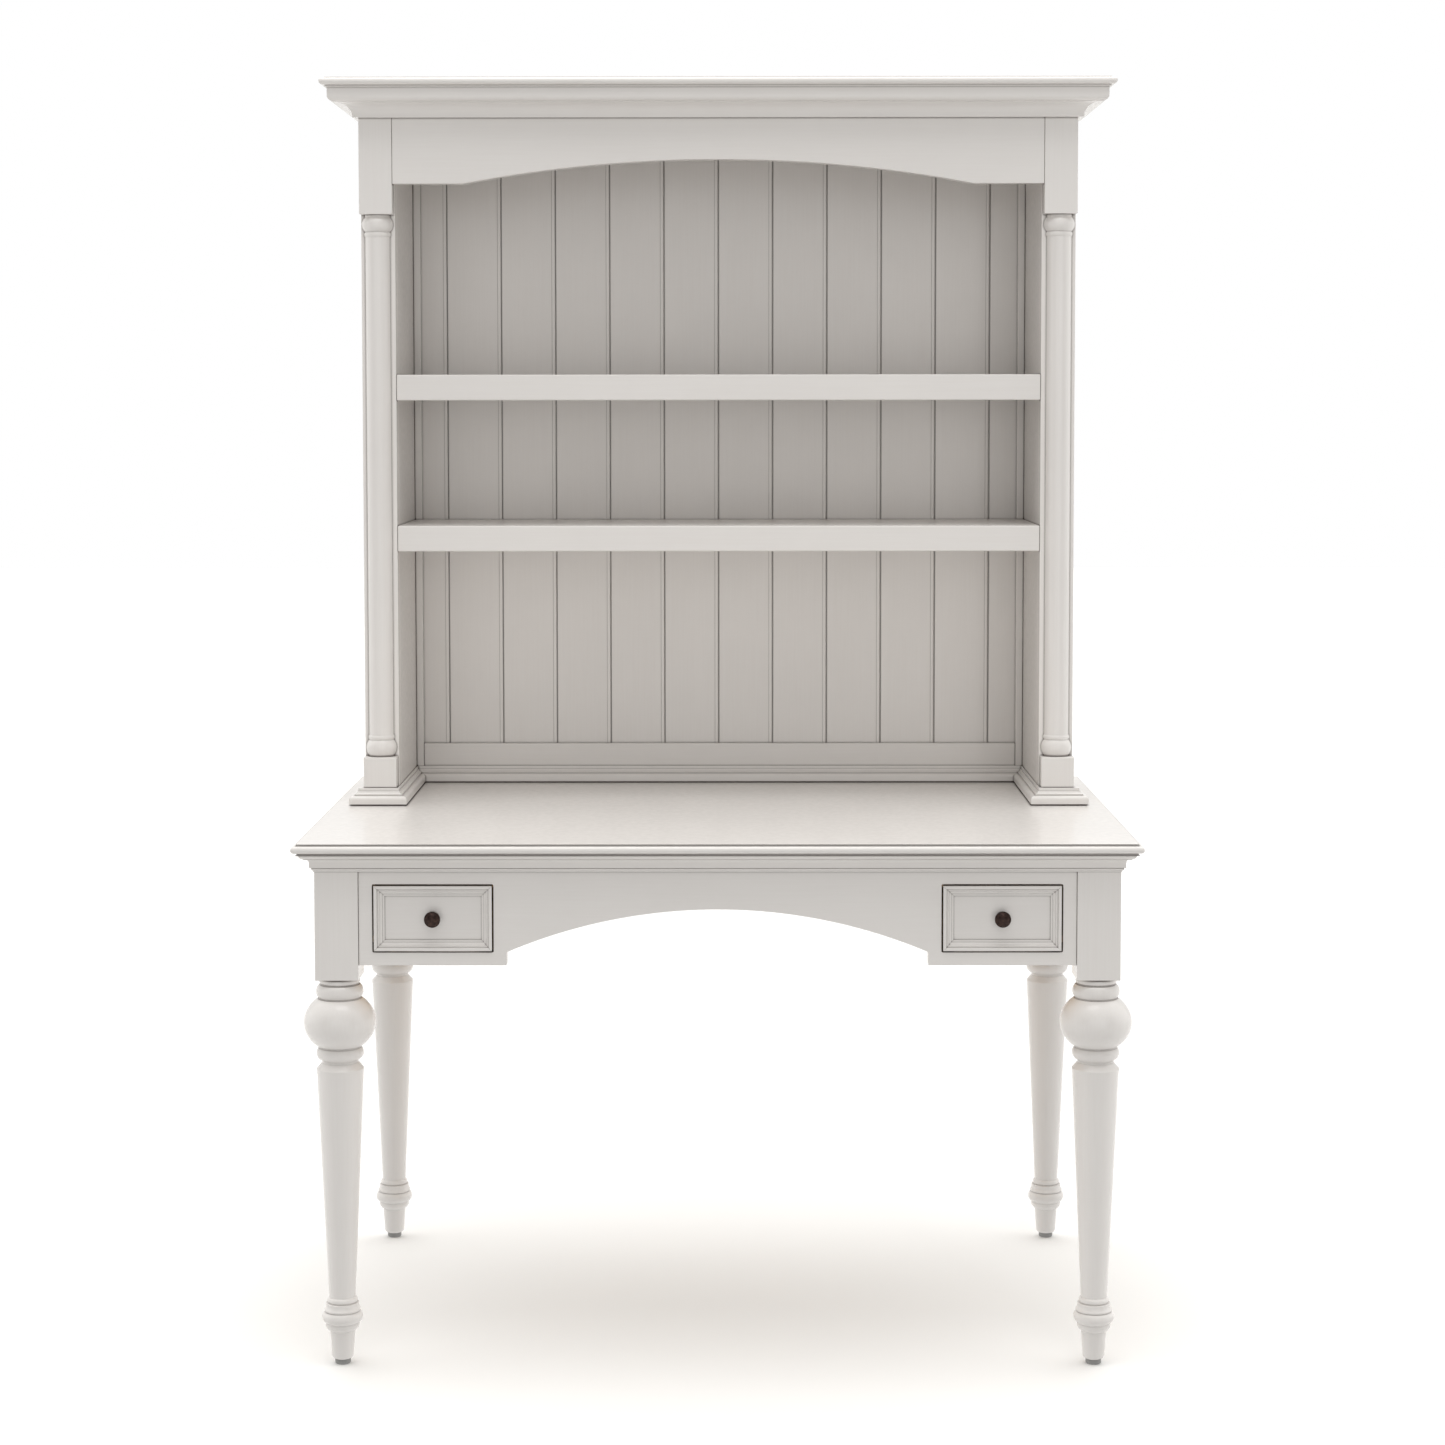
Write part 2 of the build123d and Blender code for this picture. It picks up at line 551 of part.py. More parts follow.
for name, side in SIDES.items():
    with BuildPart() as stile:
        box(*mirrored((SIDE_INNER, STILE_FRONT, DESK_HEIGHT),
                      (SIDE_OUTER, STILE_FRONT + STILE_DEPTH, CARCASE_TOP), side))
    save(stile.part, f"hutch_stile_{name}")

    with BuildPart() as rear_post:
        box(*mirrored((SIDE_INNER, BACK_REAR - STILE_DEPTH, DESK_HEIGHT),
                      (SIDE_OUTER, BACK_REAR, CARCASE_TOP), side))
        drill_screws()
    save(rear_post.part, f"hutch_rear_post_{name}")

    with BuildPart() as inner_panel:
        box(*mirrored((SIDE_INNER, STILE_FRONT + STILE_DEPTH, DESK_HEIGHT),
                      (SIDE_INNER + PANEL_THICK, BACK_REAR - STILE_DEPTH, CARCASE_TOP), side))
        for shelf_top in SHELF_TOPS.values():
            for depth in SHELF_DOWEL_DEPTHS:
                rod((side * SIDE_INNER, depth, DESK_HEIGHT + shelf_top - SHELF_THICK / 2),
                    (side, 0, 0), SHELF_DOWEL_RADIUS, PANEL_THICK, mode=Mode.SUBTRACT)
    save(inner_panel.part, f"hutch_inner_panel_{name}")

    with BuildPart() as outer_panel:
        box(*mirrored((SIDE_OUTER - PANEL_THICK, STILE_FRONT + STILE_DEPTH, DESK_HEIGHT),
                      (SIDE_OUTER, BACK_REAR - STILE_DEPTH, CARCASE_TOP), side))
    save(outer_panel.part, f"hutch_outer_panel_{name}")

    axis_plane = Plane(origin=(side * COLUMN_CENTRE, STILE_FRONT, 0), x_dir=(1, 0, 0), z_dir=(0, -1, 0))
    with BuildPart() as column:
        with BuildSketch(axis_plane):
            with BuildLine():
                column_outline()
            make_face()
        revolve(axis=Axis(axis_plane.origin, (0, 0, 1)))
        split(bisect_by=Plane(origin=axis_plane.origin, z_dir=(0, 1, 0)), keep=Keep.BOTTOM)
        for low, high in ((DESK_HEIGHT + PLINTH_HEIGHT, DESK_HEIGHT + LOWER_BLOCK_HEAD),
                          (DESK_HEIGHT + UPPER_BLOCK_FOOT, CARCASE_TOP)):
            box(*mirrored((COLUMN_INNER, COLUMN_FACE, low), (COLUMN_OUTER, STILE_FRONT, high), side))
    save(column.part, f"hutch_column_{name}")

    front_run = moulding_run(
        plinth_profile(STILE_FRONT - PLINTH_FRONT),
        (min(side * PLINTH_OUTER, side * PLINTH_INNER), PLINTH_FRONT, DESK_HEIGHT),
        (max(side * PLINTH_OUTER, side * PLINTH_INNER), PLINTH_FRONT, DESK_HEIGHT),
        (0, -1, 0), 1, 1)
    outer_run = moulding_run(
        plinth_profile(PLINTH_OUTER - SIDE_OUTER),
        (side * PLINTH_OUTER, PLINTH_FRONT, DESK_HEIGHT), (side * PLINTH_OUTER, BACK_REAR, DESK_HEIGHT),
        (side, 0, 0), 1, 0)
    inner_run = moulding_run(
        plinth_profile(SIDE_INNER - PLINTH_INNER),
        (side * PLINTH_INNER, PLINTH_FRONT, DESK_HEIGHT),
        (side * PLINTH_INNER, BACK_PLINTH_FRONT, DESK_HEIGHT),
        (-side, 0, 0), 1, -1)
    save(Compound(children=[front_run, outer_run, inner_run]), f"hutch_plinth_{name}")


# ---------------------------------------------------------------- hutch top, cornice and valance
with BuildPart() as hutch_top:
    box((-COLUMN_OUTER, COLUMN_FACE, CARCASE_TOP), (COLUMN_OUTER, BACK_REAR, CARCASE_TOP + HUTCH_TOP_THICK))
save(hutch_top.part, "hutch_top_board")

crown = DESK_HEIGHT + HUTCH_HEIGHT
front_left = (-COLUMN_OUTER, COLUMN_FACE, crown)
front_right = (COLUMN_OUTER, COLUMN_FACE, crown)
save(moulding_run(cornice_profile, front_left, front_right, (0, -1, 0), 1, 1), "hutch_cornice_front")
save(moulding_run(cornice_profile, front_right, (COLUMN_OUTER, BACK_REAR, crown), (1, 0, 0), 1, 0),
     "hutch_cornice_right")
save(moulding_run(cornice_profile, front_left, (-COLUMN_OUTER, BACK_REAR, crown), (-1, 0, 0), 1, 0),
     "hutch_cornice_left")

with BuildPart() as valance:
    foot = DESK_HEIGHT + VALANCE_FOOT
    with BuildSketch(Plane.XZ.offset(-COLUMN_FACE - VALANCE_SETBACK)):
        with BuildLine():
            Polyline(
                (VALANCE_ARCH_HALF, foot), (COLUMN_INNER, foot), (COLUMN_INNER, CARCASE_TOP),
                (-COLUMN_INNER, CARCASE_TOP), (-COLUMN_INNER, foot), (-VALANCE_ARCH_HALF, foot))
            ThreePointArc(
                (-VALANCE_ARCH_HALF, foot), (0, foot + VALANCE_ARCH_RISE), (VALANCE_ARCH_HALF, foot))
        make_face()
    extrude(amount=-VALANCE_THICK)
save(valance.part, "hutch_valance")

# ---------------------------------------------------------------- shelves
for name, shelf_top in SHELF_TOPS.items():
    with BuildPart() as shelf:
        high = DESK_HEIGHT + shelf_top
        box((-SIDE_INNER, STILE_FRONT + LIPPING_DEPTH, high - SHELF_THICK), (SIDE_INNER, BOARD_FRONT, high))
        for side in (-1, 1):
            for depth in SHELF_DOWEL_DEPTHS:
                rod((side * SIDE_INNER, depth, high - SHELF_THICK / 2), (-side, 0, 0),
                    SHELF_DOWEL_RADIUS, SHELF_DOWEL_REACH, mode=Mode.SUBTRACT)
            corner = mirrored((SIDE_INNER - BATTEN, BOARD_FRONT - BATTEN, high - SHELF_THICK),
                              (SIDE_INNER, BOARD_FRONT, high), side)
            cut_box(*corner)
    save(shelf.part, f"hutch_{name}_shelf")

with BuildPart() as lippings:
    for shelf_top in SHELF_TOPS.values():
        high = DESK_HEIGHT + shelf_top
        box((-SIDE_INNER, STILE_FRONT, high - LIPPING_HEIGHT),
            (SIDE_INNER, STILE_FRONT + LIPPING_DEPTH, high))
    fillet(lippings.edges().filter_by(Axis.X).group_by(Axis.Y)[0], radius=LIPPING_ROUND)
save(lippings.part, "hutch_shelf_lippings")

with BuildPart() as shelf_dowels:
    for shelf_top in SHELF_TOPS.values():
        for side in (-1, 1):
            for depth in SHELF_DOWEL_DEPTHS:
                rod((side * (SIDE_INNER + PANEL_THICK), depth, DESK_HEIGHT + shelf_top - SHELF_THICK / 2),
                    (-side, 0, 0), SHELF_DOWEL_RADIUS, PANEL_THICK + SHELF_DOWEL_REACH)
save(shelf_dowels.part, "hutch_shelf_dowels")

# ---------------------------------------------------------------- hutch back
joints = [-SIDE_INNER] + [BOARD_PITCH * step for step in INNER_JOINTS] + [SIDE_INNER]
boards = []
for left, right in zip(joints, joints[1:]):
    edge = right - QUIRK
    bead_left = edge - BEAD
    with BuildPart() as board:
        with BuildSketch(Plane.XY.offset(DESK_HEIGHT)):
            with BuildLine():
                Line((left, BACK_REAR), (left, BOARD_FRONT))
                if right == SIDE_INNER:
                    Polyline((left, BOARD_FRONT), (right, BOARD_FRONT), (right, BACK_REAR), (left, BACK_REAR))
                else:
                    quirk_floor = BOARD_FRONT + BEAD / 2
                    line_floor = BOARD_FRONT + BEAD_LINE
                    round_off = BEAD / 2 * (1 - sqrt(0.5))
                    Polyline((left, BOARD_FRONT), (bead_left - BEAD_LINE, BOARD_FRONT),
                             (bead_left - BEAD_LINE, line_floor), (bead_left, line_floor),
                             (bead_left, BOARD_FRONT), (edge - BEAD / 2, BOARD_FRONT))
                    ThreePointArc((edge - BEAD / 2, BOARD_FRONT), (edge - round_off, BOARD_FRONT + round_off),
                                  (edge, quirk_floor))
                    Polyline((edge, quirk_floor), (edge, quirk_floor + TONGUE_DEPTH),
                             (right, quirk_floor + TONGUE_DEPTH), (right, BACK_REAR), (left, BACK_REAR))
            make_face()
        extrude(amount=CARCASE_TOP - DESK_HEIGHT)
    boards.append(board.part)
save(Compound(children=boards), "hutch_back_boards")

with BuildPart() as back_rail:
    box((-SIDE_INNER + BATTEN, RAIL_FRONT, DESK_HEIGHT),
        (SIDE_INNER - BATTEN, BOARD_FRONT, DESK_HEIGHT + RAIL_HEIGHT))
save(back_rail.part, "hutch_back_rail")

back_plinth = moulding_run(
    plinth_profile(BACK_PLINTH_DEPTH),
    (-PLINTH_INNER, BACK_PLINTH_FRONT, DESK_HEIGHT), (PLINTH_INNER, BACK_PLINTH_FRONT, DESK_HEIGHT),
    (0, -1, 0), -1, -1)
save(back_plinth, "hutch_back_plinth")

with BuildPart() as corner_battens:
    for side in (-1, 1):
        box(*mirrored((SIDE_INNER - BATTEN, BOARD_FRONT - BATTEN, DESK_HEIGHT + PLINTH_HEIGHT),
                      (SIDE_INNER, BOARD_FRONT, CARCASE_TOP), side))
save(corner_battens.part, "hutch_corner_battens")

# ---------------------------------------------------------------- steel brackets and screws
with BuildPart() as steel_brackets:
    for point, out in bracket_places():
        corner = Vector(*point)
        wall = Vector(*out)
        vertical = -1 if corner.Z < DESK_HEIGHT else 1
        side_plane = Plane(origin=corner, x_dir=wall, z_dir=wall.cross(UP))
        with BuildSketch(side_plane):
            with BuildLine():
                Polyline((0, 0), (BRACKET_LEG, 0), (BRACKET_LEG, vertical * BRACKET_THICK),
                         (BRACKET_THICK, vertical * BRACKET_THICK), (BRACKET_THICK, vertical * BRACKET_LEG),
                         (0, vertical * BRACKET_LEG), (0, 0))
            make_face()
        extrude(amount=BRACKET_WIDTH / 2, both=True)
    drill_screws()
save(steel_brackets.part, "steel_brackets")

with BuildPart() as bracket_screws:
    for foot, direction in screw_places():
        rod(foot, direction, SCREW_RADIUS, SCREW_LENGTH)
        rod(foot, -direction, SCREW_HEAD_RADIUS, SCREW_HEAD)
save(bracket_screws.part, "bracket_screws")
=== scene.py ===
import math

import bpy
from bpy.props import FloatProperty, FloatVectorProperty, IntProperty, PointerProperty
from mathutils import Matrix, Vector


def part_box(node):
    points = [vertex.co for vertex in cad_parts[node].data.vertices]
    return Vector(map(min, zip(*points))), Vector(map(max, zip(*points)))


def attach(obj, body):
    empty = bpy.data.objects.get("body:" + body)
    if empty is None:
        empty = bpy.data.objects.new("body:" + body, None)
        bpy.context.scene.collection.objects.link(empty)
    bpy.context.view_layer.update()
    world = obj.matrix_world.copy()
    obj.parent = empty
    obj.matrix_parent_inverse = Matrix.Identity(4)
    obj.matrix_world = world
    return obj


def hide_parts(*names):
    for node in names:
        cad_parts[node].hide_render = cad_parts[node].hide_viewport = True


bl_info = {
    "name": "Writing desk with hutch",
    "version": (1, 0, 0),
    "blender": (4, 5, 0),
    "location": "3D View > Sidebar > Desk",
    "description": "Builds the painted surfaces, mouldings, turnings and fittings of a writing desk "
                   "with its hutch",
    "category": "Object",
}

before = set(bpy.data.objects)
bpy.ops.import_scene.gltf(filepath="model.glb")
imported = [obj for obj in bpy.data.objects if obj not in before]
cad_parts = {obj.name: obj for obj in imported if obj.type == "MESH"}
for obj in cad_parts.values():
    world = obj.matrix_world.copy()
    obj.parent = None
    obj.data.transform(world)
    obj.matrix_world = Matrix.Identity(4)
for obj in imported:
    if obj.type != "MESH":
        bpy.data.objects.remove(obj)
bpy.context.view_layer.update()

MM = 0.001
UP = Vector((0, 0, 1))
SIDES = {"left": -1, "right": 1}


# ---------------------------------------------------------------- colours and nodes
def linear(hex_colour):
    """An sRGB hex colour as linear red, green and blue."""
    channels = [int(hex_colour[i:i + 2], 16) / 255 for i in (1, 3, 5)]
    return tuple(c / 12.92 if c <= 0.04045 else ((c + 0.055) / 1.055) ** 2.4 for c in channels)


def add_node(tree, kind, inputs=None, **settings):
    """One shader node with its settings, values and incoming links."""
    node = tree.nodes.new(kind)
    for name, value in settings.items():
        setattr(node, name, value)
    for name, value in (inputs or {}).items():
        if isinstance(value, bpy.types.NodeSocket):
            tree.links.new(value, node.inputs[name])
        else:
            node.inputs[name].default_value = value
    return node


def new_material(name):
    """An empty node material and its tree."""
    material = bpy.data.materials.new(name)
    material.use_nodes = True
    material.node_tree.nodes.clear()
    return material, material.node_tree


def surface(tree, inputs):
    """The one shader of a material, with its output."""
    shader = add_node(tree, "ShaderNodeBsdfPrincipled", inputs)
    add_node(tree, "ShaderNodeOutputMaterial", {"Surface": shader.outputs[0]})


def object_coordinates(tree):
    """Coordinates that are fixed to the object, in metres."""
    return add_node(tree, "ShaderNodeTexCoord").outputs["Object"]


def stretched(tree, coordinates, axis, across, along):
    """Coordinates scaled so that one unit is a pattern's size across and along an axis."""
    scale = [1 / across] * 3
    scale["xyz".index(axis)] = 1 / along
    mapping = add_node(tree, "ShaderNodeMapping", {"Vector": coordinates, "Scale": scale})
    return mapping.outputs["Vector"]


def noise(tree, coordinates, size=1.0, detail=2.0, roughness=0.5, distortion=0.0):
    """A cloudy pattern from 0 to 1, with clouds of about that size."""
    return add_node(tree, "ShaderNodeTexNoise", {
        "Vector": coordinates, "Scale": 1 / size, "Detail": detail, "Roughness": roughness,
        "Distortion": distortion}).outputs["Fac"]


def remap(tree, value, low, high, to_low=0.0, to_high=1.0):
    """The range of a value from low to high, spread over another range and clamped to it."""
    return add_node(tree, "ShaderNodeMapRange", {
        "Value": value, "From Min": low, "From Max": high, "To Min": to_low,
        "To Max": to_high}).outputs["Result"]


def blend(tree, factor, first, second):
    """A colour between two, each a link or red, green and blue."""
    ends = [c if isinstance(c, bpy.types.NodeSocket) else (*c, 1) for c in (first, second)]
    mix = add_node(tree, "ShaderNodeMix", {0: factor, 6: ends[0], 7: ends[1]}, data_type="RGBA")
    return mix.outputs[2]


def bumps(tree, height, strength, depth):
    """Normals of a surface that a pattern raises by up to a depth."""
    return add_node(tree, "ShaderNodeBump", {
        "Height": height, "Strength": strength, "Distance": depth}).outputs["Normal"]


# Size of each pattern, across and along the brush or the grain where it has a direction.
BRUSH_ACROSS = 3.0 * MM
BRUSH_ALONG = 130.0 * MM
PAINT_FLOW = 9.0 * MM
PAINT_TONE = 160.0 * MM
GRAIN_ACROSS = 5.0 * MM
GRAIN_ALONG = 220.0 * MM
PORE_ACROSS = 0.9 * MM
PORE_ALONG = 14.0 * MM
PATINA_CLOUD = 4.0 * MM
ZINC_CRYSTAL = 3.0 * MM
NYLON_GRIT = 0.8 * MM
# How high each texture stands.
RIDGE_DEPTH = 0.10 * MM
PORE_DEPTH = 0.08 * MM
PATINA_DEPTH = 0.08 * MM
GRIT_DEPTH = 0.05 * MM
# How far from a corner the painted shade reaches, an occlusion mask that darkens corners and grooves.
PAINTED_SHADE_REACH = 4.0 * MM
# Share of open sky at which the painted shade is at its full colour, and at which none is left.
PAINTED_SHADE_FULL_AT = 0.25
PAINTED_SHADE_GONE_AT = 0.93
PAINTED_SHADE_SAMPLES = 16
# Share of the painted shade's colour in the tightest corner: on the outside, and on the back boards.
FULL_PAINTED_SHADE = 1.0
THIN_PAINTED_SHADE = 0.55
# Most that a brush streak changes the paint's colour.
STREAK_SHARE = 0.10
# Index of refraction of paint and lacquer, and of nylon.
PAINT_INDEX = 1.50
NYLON_INDEX = 1.53


def satin_paint(axis, name, painted_shade_depth):
    """White alkyd satin paint, brushed along the board, with a brown painted shade in its corners and
    grooves.

    It gives a soft broad gloss, very faint ridges along the brush, a tone that drifts a little, and a
    thin dark line of painted shade in each groove and where two pieces meet.
    """
    colours = bpy.context.scene.desk_colours
    material, tree = new_material(name)
    coordinates = object_coordinates(tree)
    brush = noise(tree, stretched(tree, coordinates, axis, BRUSH_ACROSS, BRUSH_ALONG), roughness=0.55)
    flow = noise(tree, coordinates, PAINT_FLOW, detail=1.0)
    tone = noise(tree, coordinates, PAINT_TONE, detail=3.0, roughness=0.6)
    tint = blend(tree, tone, colours.paint, colours.paint_shade)
    streaked = blend(tree, remap(tree, brush, 0.35, 0.65, 0.0, STREAK_SHARE), tint, colours.paint_streak)
    # Painted shade: an occlusion mask blends the paint towards a dark brown in corners, creases and
    # grooves.
    corners = add_node(tree, "ShaderNodeAmbientOcclusion", {"Distance": PAINTED_SHADE_REACH},
                       samples=PAINTED_SHADE_SAMPLES)
    painted_corner_shade = remap(tree, corners.outputs["AO"], PAINTED_SHADE_FULL_AT, PAINTED_SHADE_GONE_AT, painted_shade_depth, 0.0)
    surface(tree, {
        "Base Color": blend(tree, painted_corner_shade, streaked, colours.painted_corner_shade),
        "Roughness": remap(tree, flow, 0.3, 0.7, 0.20, 0.24), "IOR": PAINT_INDEX,
        "Normal": bumps(tree, brush, 0.05, RIDGE_DEPTH)})
    return material


def clear_wood(axis, name, pale, dark, roughness):
    """Planed softwood or beech under a thin clear lacquer: long grain figure and short fine pores."""
    material, tree = new_material(name)
    coordinates = object_coordinates(tree)
    figure = noise(tree, stretched(tree, coordinates, axis, GRAIN_ACROSS, GRAIN_ALONG),
                   detail=4.0, roughness=0.6, distortion=0.6)
    pores = noise(tree, stretched(tree, coordinates, axis, PORE_ACROSS, PORE_ALONG), detail=1.0)
    surface(tree, {
        "Base Color": blend(tree, remap(tree, figure, 0.3, 0.7), pale, dark),
        "Roughness": roughness, "IOR": PAINT_INDEX, "Normal": bumps(tree, pores, 0.3, PORE_DEPTH)})
    return material


def antique_bronze(name):
    """Cast brass with a dark patina, rubbed through a little: brown-black with warm cloudy spots."""
    colours = bpy.context.scene.desk_colours
    material, tree = new_material(name)
    clouds = noise(tree, object_coordinates(tree), PATINA_CLOUD, detail=5.0, roughness=0.65)
    surface(tree, {
        "Base Color": blend(tree, remap(tree, clouds, 0.42, 0.72), colours.bronze, colours.bronze_rubbed),
        "Metallic": 0.9, "Roughness": remap(tree, clouds, 0.3, 0.7, 0.46, 0.30),
        "Normal": bumps(tree, clouds, 0.2, PATINA_DEPTH)})
    return material


def zinc_plate(name):
    """Zinc-plated mild steel: a cool grey with a fine cloudy crystal pattern."""
    material, tree = new_material(name)
    crystals = add_node(tree, "ShaderNodeTexVoronoi", {
        "Vector": object_coordinates(tree), "Scale": 1 / ZINC_CRYSTAL})
    surface(tree, {
        "Base Color": (*linear("#B4B7BA"), 1), "Metallic": 1.0,
        "Roughness": remap(tree, crystals.outputs["Distance"], 0.0, 1.0, 0.28, 0.42)})
    return material


def glide_nylon(name):
    """Injection-moulded nylon: a mid grey with a fine spark-eroded texture."""
    material, tree = new_material(name)
    grit = noise(tree, object_coordinates(tree), NYLON_GRIT)
    surface(tree, {
        "Base Color": (*linear("#8E8D8B"), 1), "Roughness": 0.52, "IOR": NYLON_INDEX,
        "Normal": bumps(tree, grit, 0.4, GRIT_DEPTH)})
    return material


def finish_named(name):
    """The material of that name, made the first time that it is asked for."""
    if name in bpy.data.materials:
        return bpy.data.materials[name]
    colours = bpy.context.scene.desk_colours
    makers = {
        "satin_paint_x": lambda: satin_paint("x", name, FULL_PAINTED_SHADE),
        "satin_paint_y": lambda: satin_paint("y", name, FULL_PAINTED_SHADE),
        "satin_paint_z": lambda: satin_paint("z", name, FULL_PAINTED_SHADE),
        # Back boards: a lighter painted shade in their grooves and corners.
        "satin_paint_thin_glaze": lambda: satin_paint("z", name, THIN_PAINTED_SHADE),
        "lacquered_pine": lambda: clear_wood("y", name, colours.pine, colours.pine_grain, 0.42),
        "bare_beech": lambda: clear_wood("x", name, linear("#D2AE86"), linear("#B98F63"), 0.62),
        "antique_bronze": lambda: antique_bronze(name),
        "zinc_plate": lambda: zinc_plate(name),
        "glide_nylon": lambda: glide_nylon(name),
    }
    return makers[name]()


# ---------------------------------------------------------------- outlines
def arc_points(start, through, end, steps):
    """Points of the arc from start, through a middle point, to end, without start itself."""
    a, b, c = Vector(start), Vector(through), Vector(end)
    twice_area = 2 * (a.x * (b.y - c.y) + b.x * (c.y - a.y) + c.x * (a.y - b.y))
    squares = a.length_squared, b.length_squared, c.length_squared
    centre = Vector((
        (squares[0] * (b.y - c.y) + squares[1] * (c.y - a.y) + squares[2] * (a.y - b.y)) / twice_area,
        (squares[0] * (c.x - b.x) + squares[1] * (a.x - c.x) + squares[2] * (b.x - a.x)) / twice_area))
    first, middle, last = (math.atan2(p.y - centre.y, p.x - centre.x) for p in (a, b, c))
    turn = (last - first) % math.tau
    if (middle - first) % math.tau > turn:
        turn -= math.tau
    radius = (a - centre).length
    return [(centre.x + radius * math.cos(first + turn * step / steps),
             centre.y + radius * math.sin(first + turn * step / steps)) for step in range(1, steps + 1)]


def trace(outline, steps=8):
    """Corners of an outline in millimetres. An item of two points is an arc through one to the other."""
    corners = []
    for item in outline:
        if isinstance(item[0], tuple):
            corners += arc_points(corners[-1], item[0], item[1], steps)
        else:
            corners.append(item)
    return corners


# Outward from the face that a moulding is planted on, and up. All in millimetres.
DESK_MOULDING = [
    (0, 0), (20, 0), ((18.24, -4.24), (14, -6)), (14, -7.5), (9.2, -7.5), ((7.1, -10), (6.2, -14)),
    (6.2, -20.5), (3, -20.5), ((3.6, -22.8), (1.2, -25)), (1.2, -27), (0, -27)]
CORNICE = [
    (0, 0), (46.5, 0), (46.5, -1.5), (49, -1.5), ((54.5, -7), (49, -12.5)), (46, -12.5), (46, -15.5),
    (43.2, -15.5), (43.2, -29), ((41, -34.3), (35.7, -36.5)), (35.7, -37.5), (29, -37.5),
    ((14.15, -43.65), (8, -58.5)), (8, -59.5), (0, -59.5)]
PLINTH_FACE = [
    (-3, 0), (-3, 2.2), (0, 2.2), (0, 9.5), ((-1.6, 13.4), (-5.5, 15)), (-8, 15), (-8, 18),
    ((-10.9, 19.2), (-12, 22)), (-13.5, 22), (-13.5, 27)]
FRAME_STRIP = [
    (0, 0), (8.5, 0), ((9.5, 2.4), (8.5, 4.8)), (6.5, 4.8), (6.5, 8), ((3.9, 9.2), (2.8, 12)),
    (1.6, 12), (1.6, 15.5), (0, 15.5)]

# Radius and height of a leg's turning, from the block down to the foot.
LEG_TURNING = [
    (0, 580), (27.2, 580), ((30.2, 575.4), (28.2, 570.8)), (28.2, 569.8), (30.6, 569.4),
    ((35, 559.8), (31.4, 550.4)), (31.4, 549), (32.8, 549), ((42.9, 540), (49.8, 529)),
    ((53, 513.5), (49.8, 498)), ((42.9, 487), (32.8, 478)), (31.2, 477.6), (31.2, 476.2),
    ((34.9, 467.2), (28.6, 457.6)), (27, 456.4), (26.6, 453.8), (34.8, 444.4), (34.8, 441.6), (34.4, 438.5),
    (19.4, 101), ((22.3, 97), (21.6, 92.8)), (24.4, 91.8), (24.4, 88.8), ((25.2, 85.6), (27, 82.7)),
    (26.6, 80.4), (25.6, 79.7), ((29.9, 73.2), (24.6, 62.4)), (24.6, 61.6), ((24.4, 56.4), (19, 50.4)),
    (18.6, 49.5), (16.2, 14), ((15.2, 10.4), (12.4, 8)), (0, 8)]
# Radius of a hutch column, and depth below its upper block or, where negative, height over its lower one.
COLUMN_HEAD = [
    (0, 0), (20, 0), (20, 4), ((24.8, 15), (20.5, 26)), (19.6, 27), ((21.2, 31), (19.6, 35))]
COLUMN_FOOT = [
    (19.6, -34.5), ((21, -30.5), (19.6, -26.5)), (20.5, -25.5), ((24.3, -13.5), (20, -1.6)),
    (20, 0), (0, 0)]
# Radius of a knob, and distance out from the drawer panel.
KNOB = [
    (0, 0), (8.5, 0), (8.5, 1.6), ((5.6, 3.6), (4.8, 7)), ((6.2, 12), (9.8, 13.6)),
    ((12, 16.6), (9.8, 19.4)), ((5.6, 22.7), (0, 24))]

# The other sizes that the frame doesn't give, in millimetres. Foot and head are heights.
NOSE_TOP = 3.0  # the half-round nose of the top board, down from the board's upper face
NOSE_BOTTOM = 13.5
NOSE_ROUND = 5.2
NOSE_STEP = 3.3
RECESS_WIDTH = 4.2
RECESS_DEPTH = 3.5
LEG_BLOCK_HALF = 32.0
LEG_BLOCK_FOOT = 580
GLIDE_RADIUS = 11.6
GLIDE_HEIGHT = 8
GLIDE_CHAMFER = 1.5
APRON_ARCH_HALF = 308.5
APRON_ARCH_FOOT = 622.0
APRON_ARCH_CROWN = 685.0
OPENING_GAP = 2.0
VALANCE_ARCH_HALF = 403.0
VALANCE_ARCH_RISE = 38.0
COLUMN_LOWER_HEAD = 48.6  # the column's two square blocks, up from the column's foot
COLUMN_UPPER_FOOT = 911.0
LIPPING_DROP = 41.0
BACK_PITCH = 91.2
BACK_JOINT = 5  # pitches from the middle to the last joint of the back boards
BACK_BOARDS = 12
QUIRK_DEPTH = 1.0  # below the bead beside it

# Radius left on the edges of single pieces, in metres.
TOP_EASE = 0.8 * MM
PANEL_EASE = 0.8 * MM
SHELF_EASE = 0.6 * MM
LIPPING_EASE = 2.0 * MM
FRAME_EASE = 0.35 * MM
KNOB_EASE = 0.25 * MM
BACK_EASE = 0.25 * MM
GLIDE_EASE = 0.4 * MM

# How far a moulding runs past its corners before its mitres are cut, in millimetres.
MITRE_ROOM = 80
FRAME_MITRE_ROOM = 30
# How far a cutter runs past its board, and the closest that two corners of a turning may lie before
# they are merged, in metres.
CUTTER_ROOM = 0.01
MERGE_DISTANCE = 0.01 * MM
# Facets of an arch, and round a glide and a knob.
ARCH_STEPS = 48
GLIDE_STEPS = 32
KNOB_STEPS = 48


# ---------------------------------------------------------------- making and finishing a piece
def clear_selection():
    """Leaves edit mode and deselects everything."""
    if bpy.context.mode != "OBJECT":
        bpy.ops.object.mode_set(mode="OBJECT")
    bpy.ops.object.select_all(action="DESELECT")


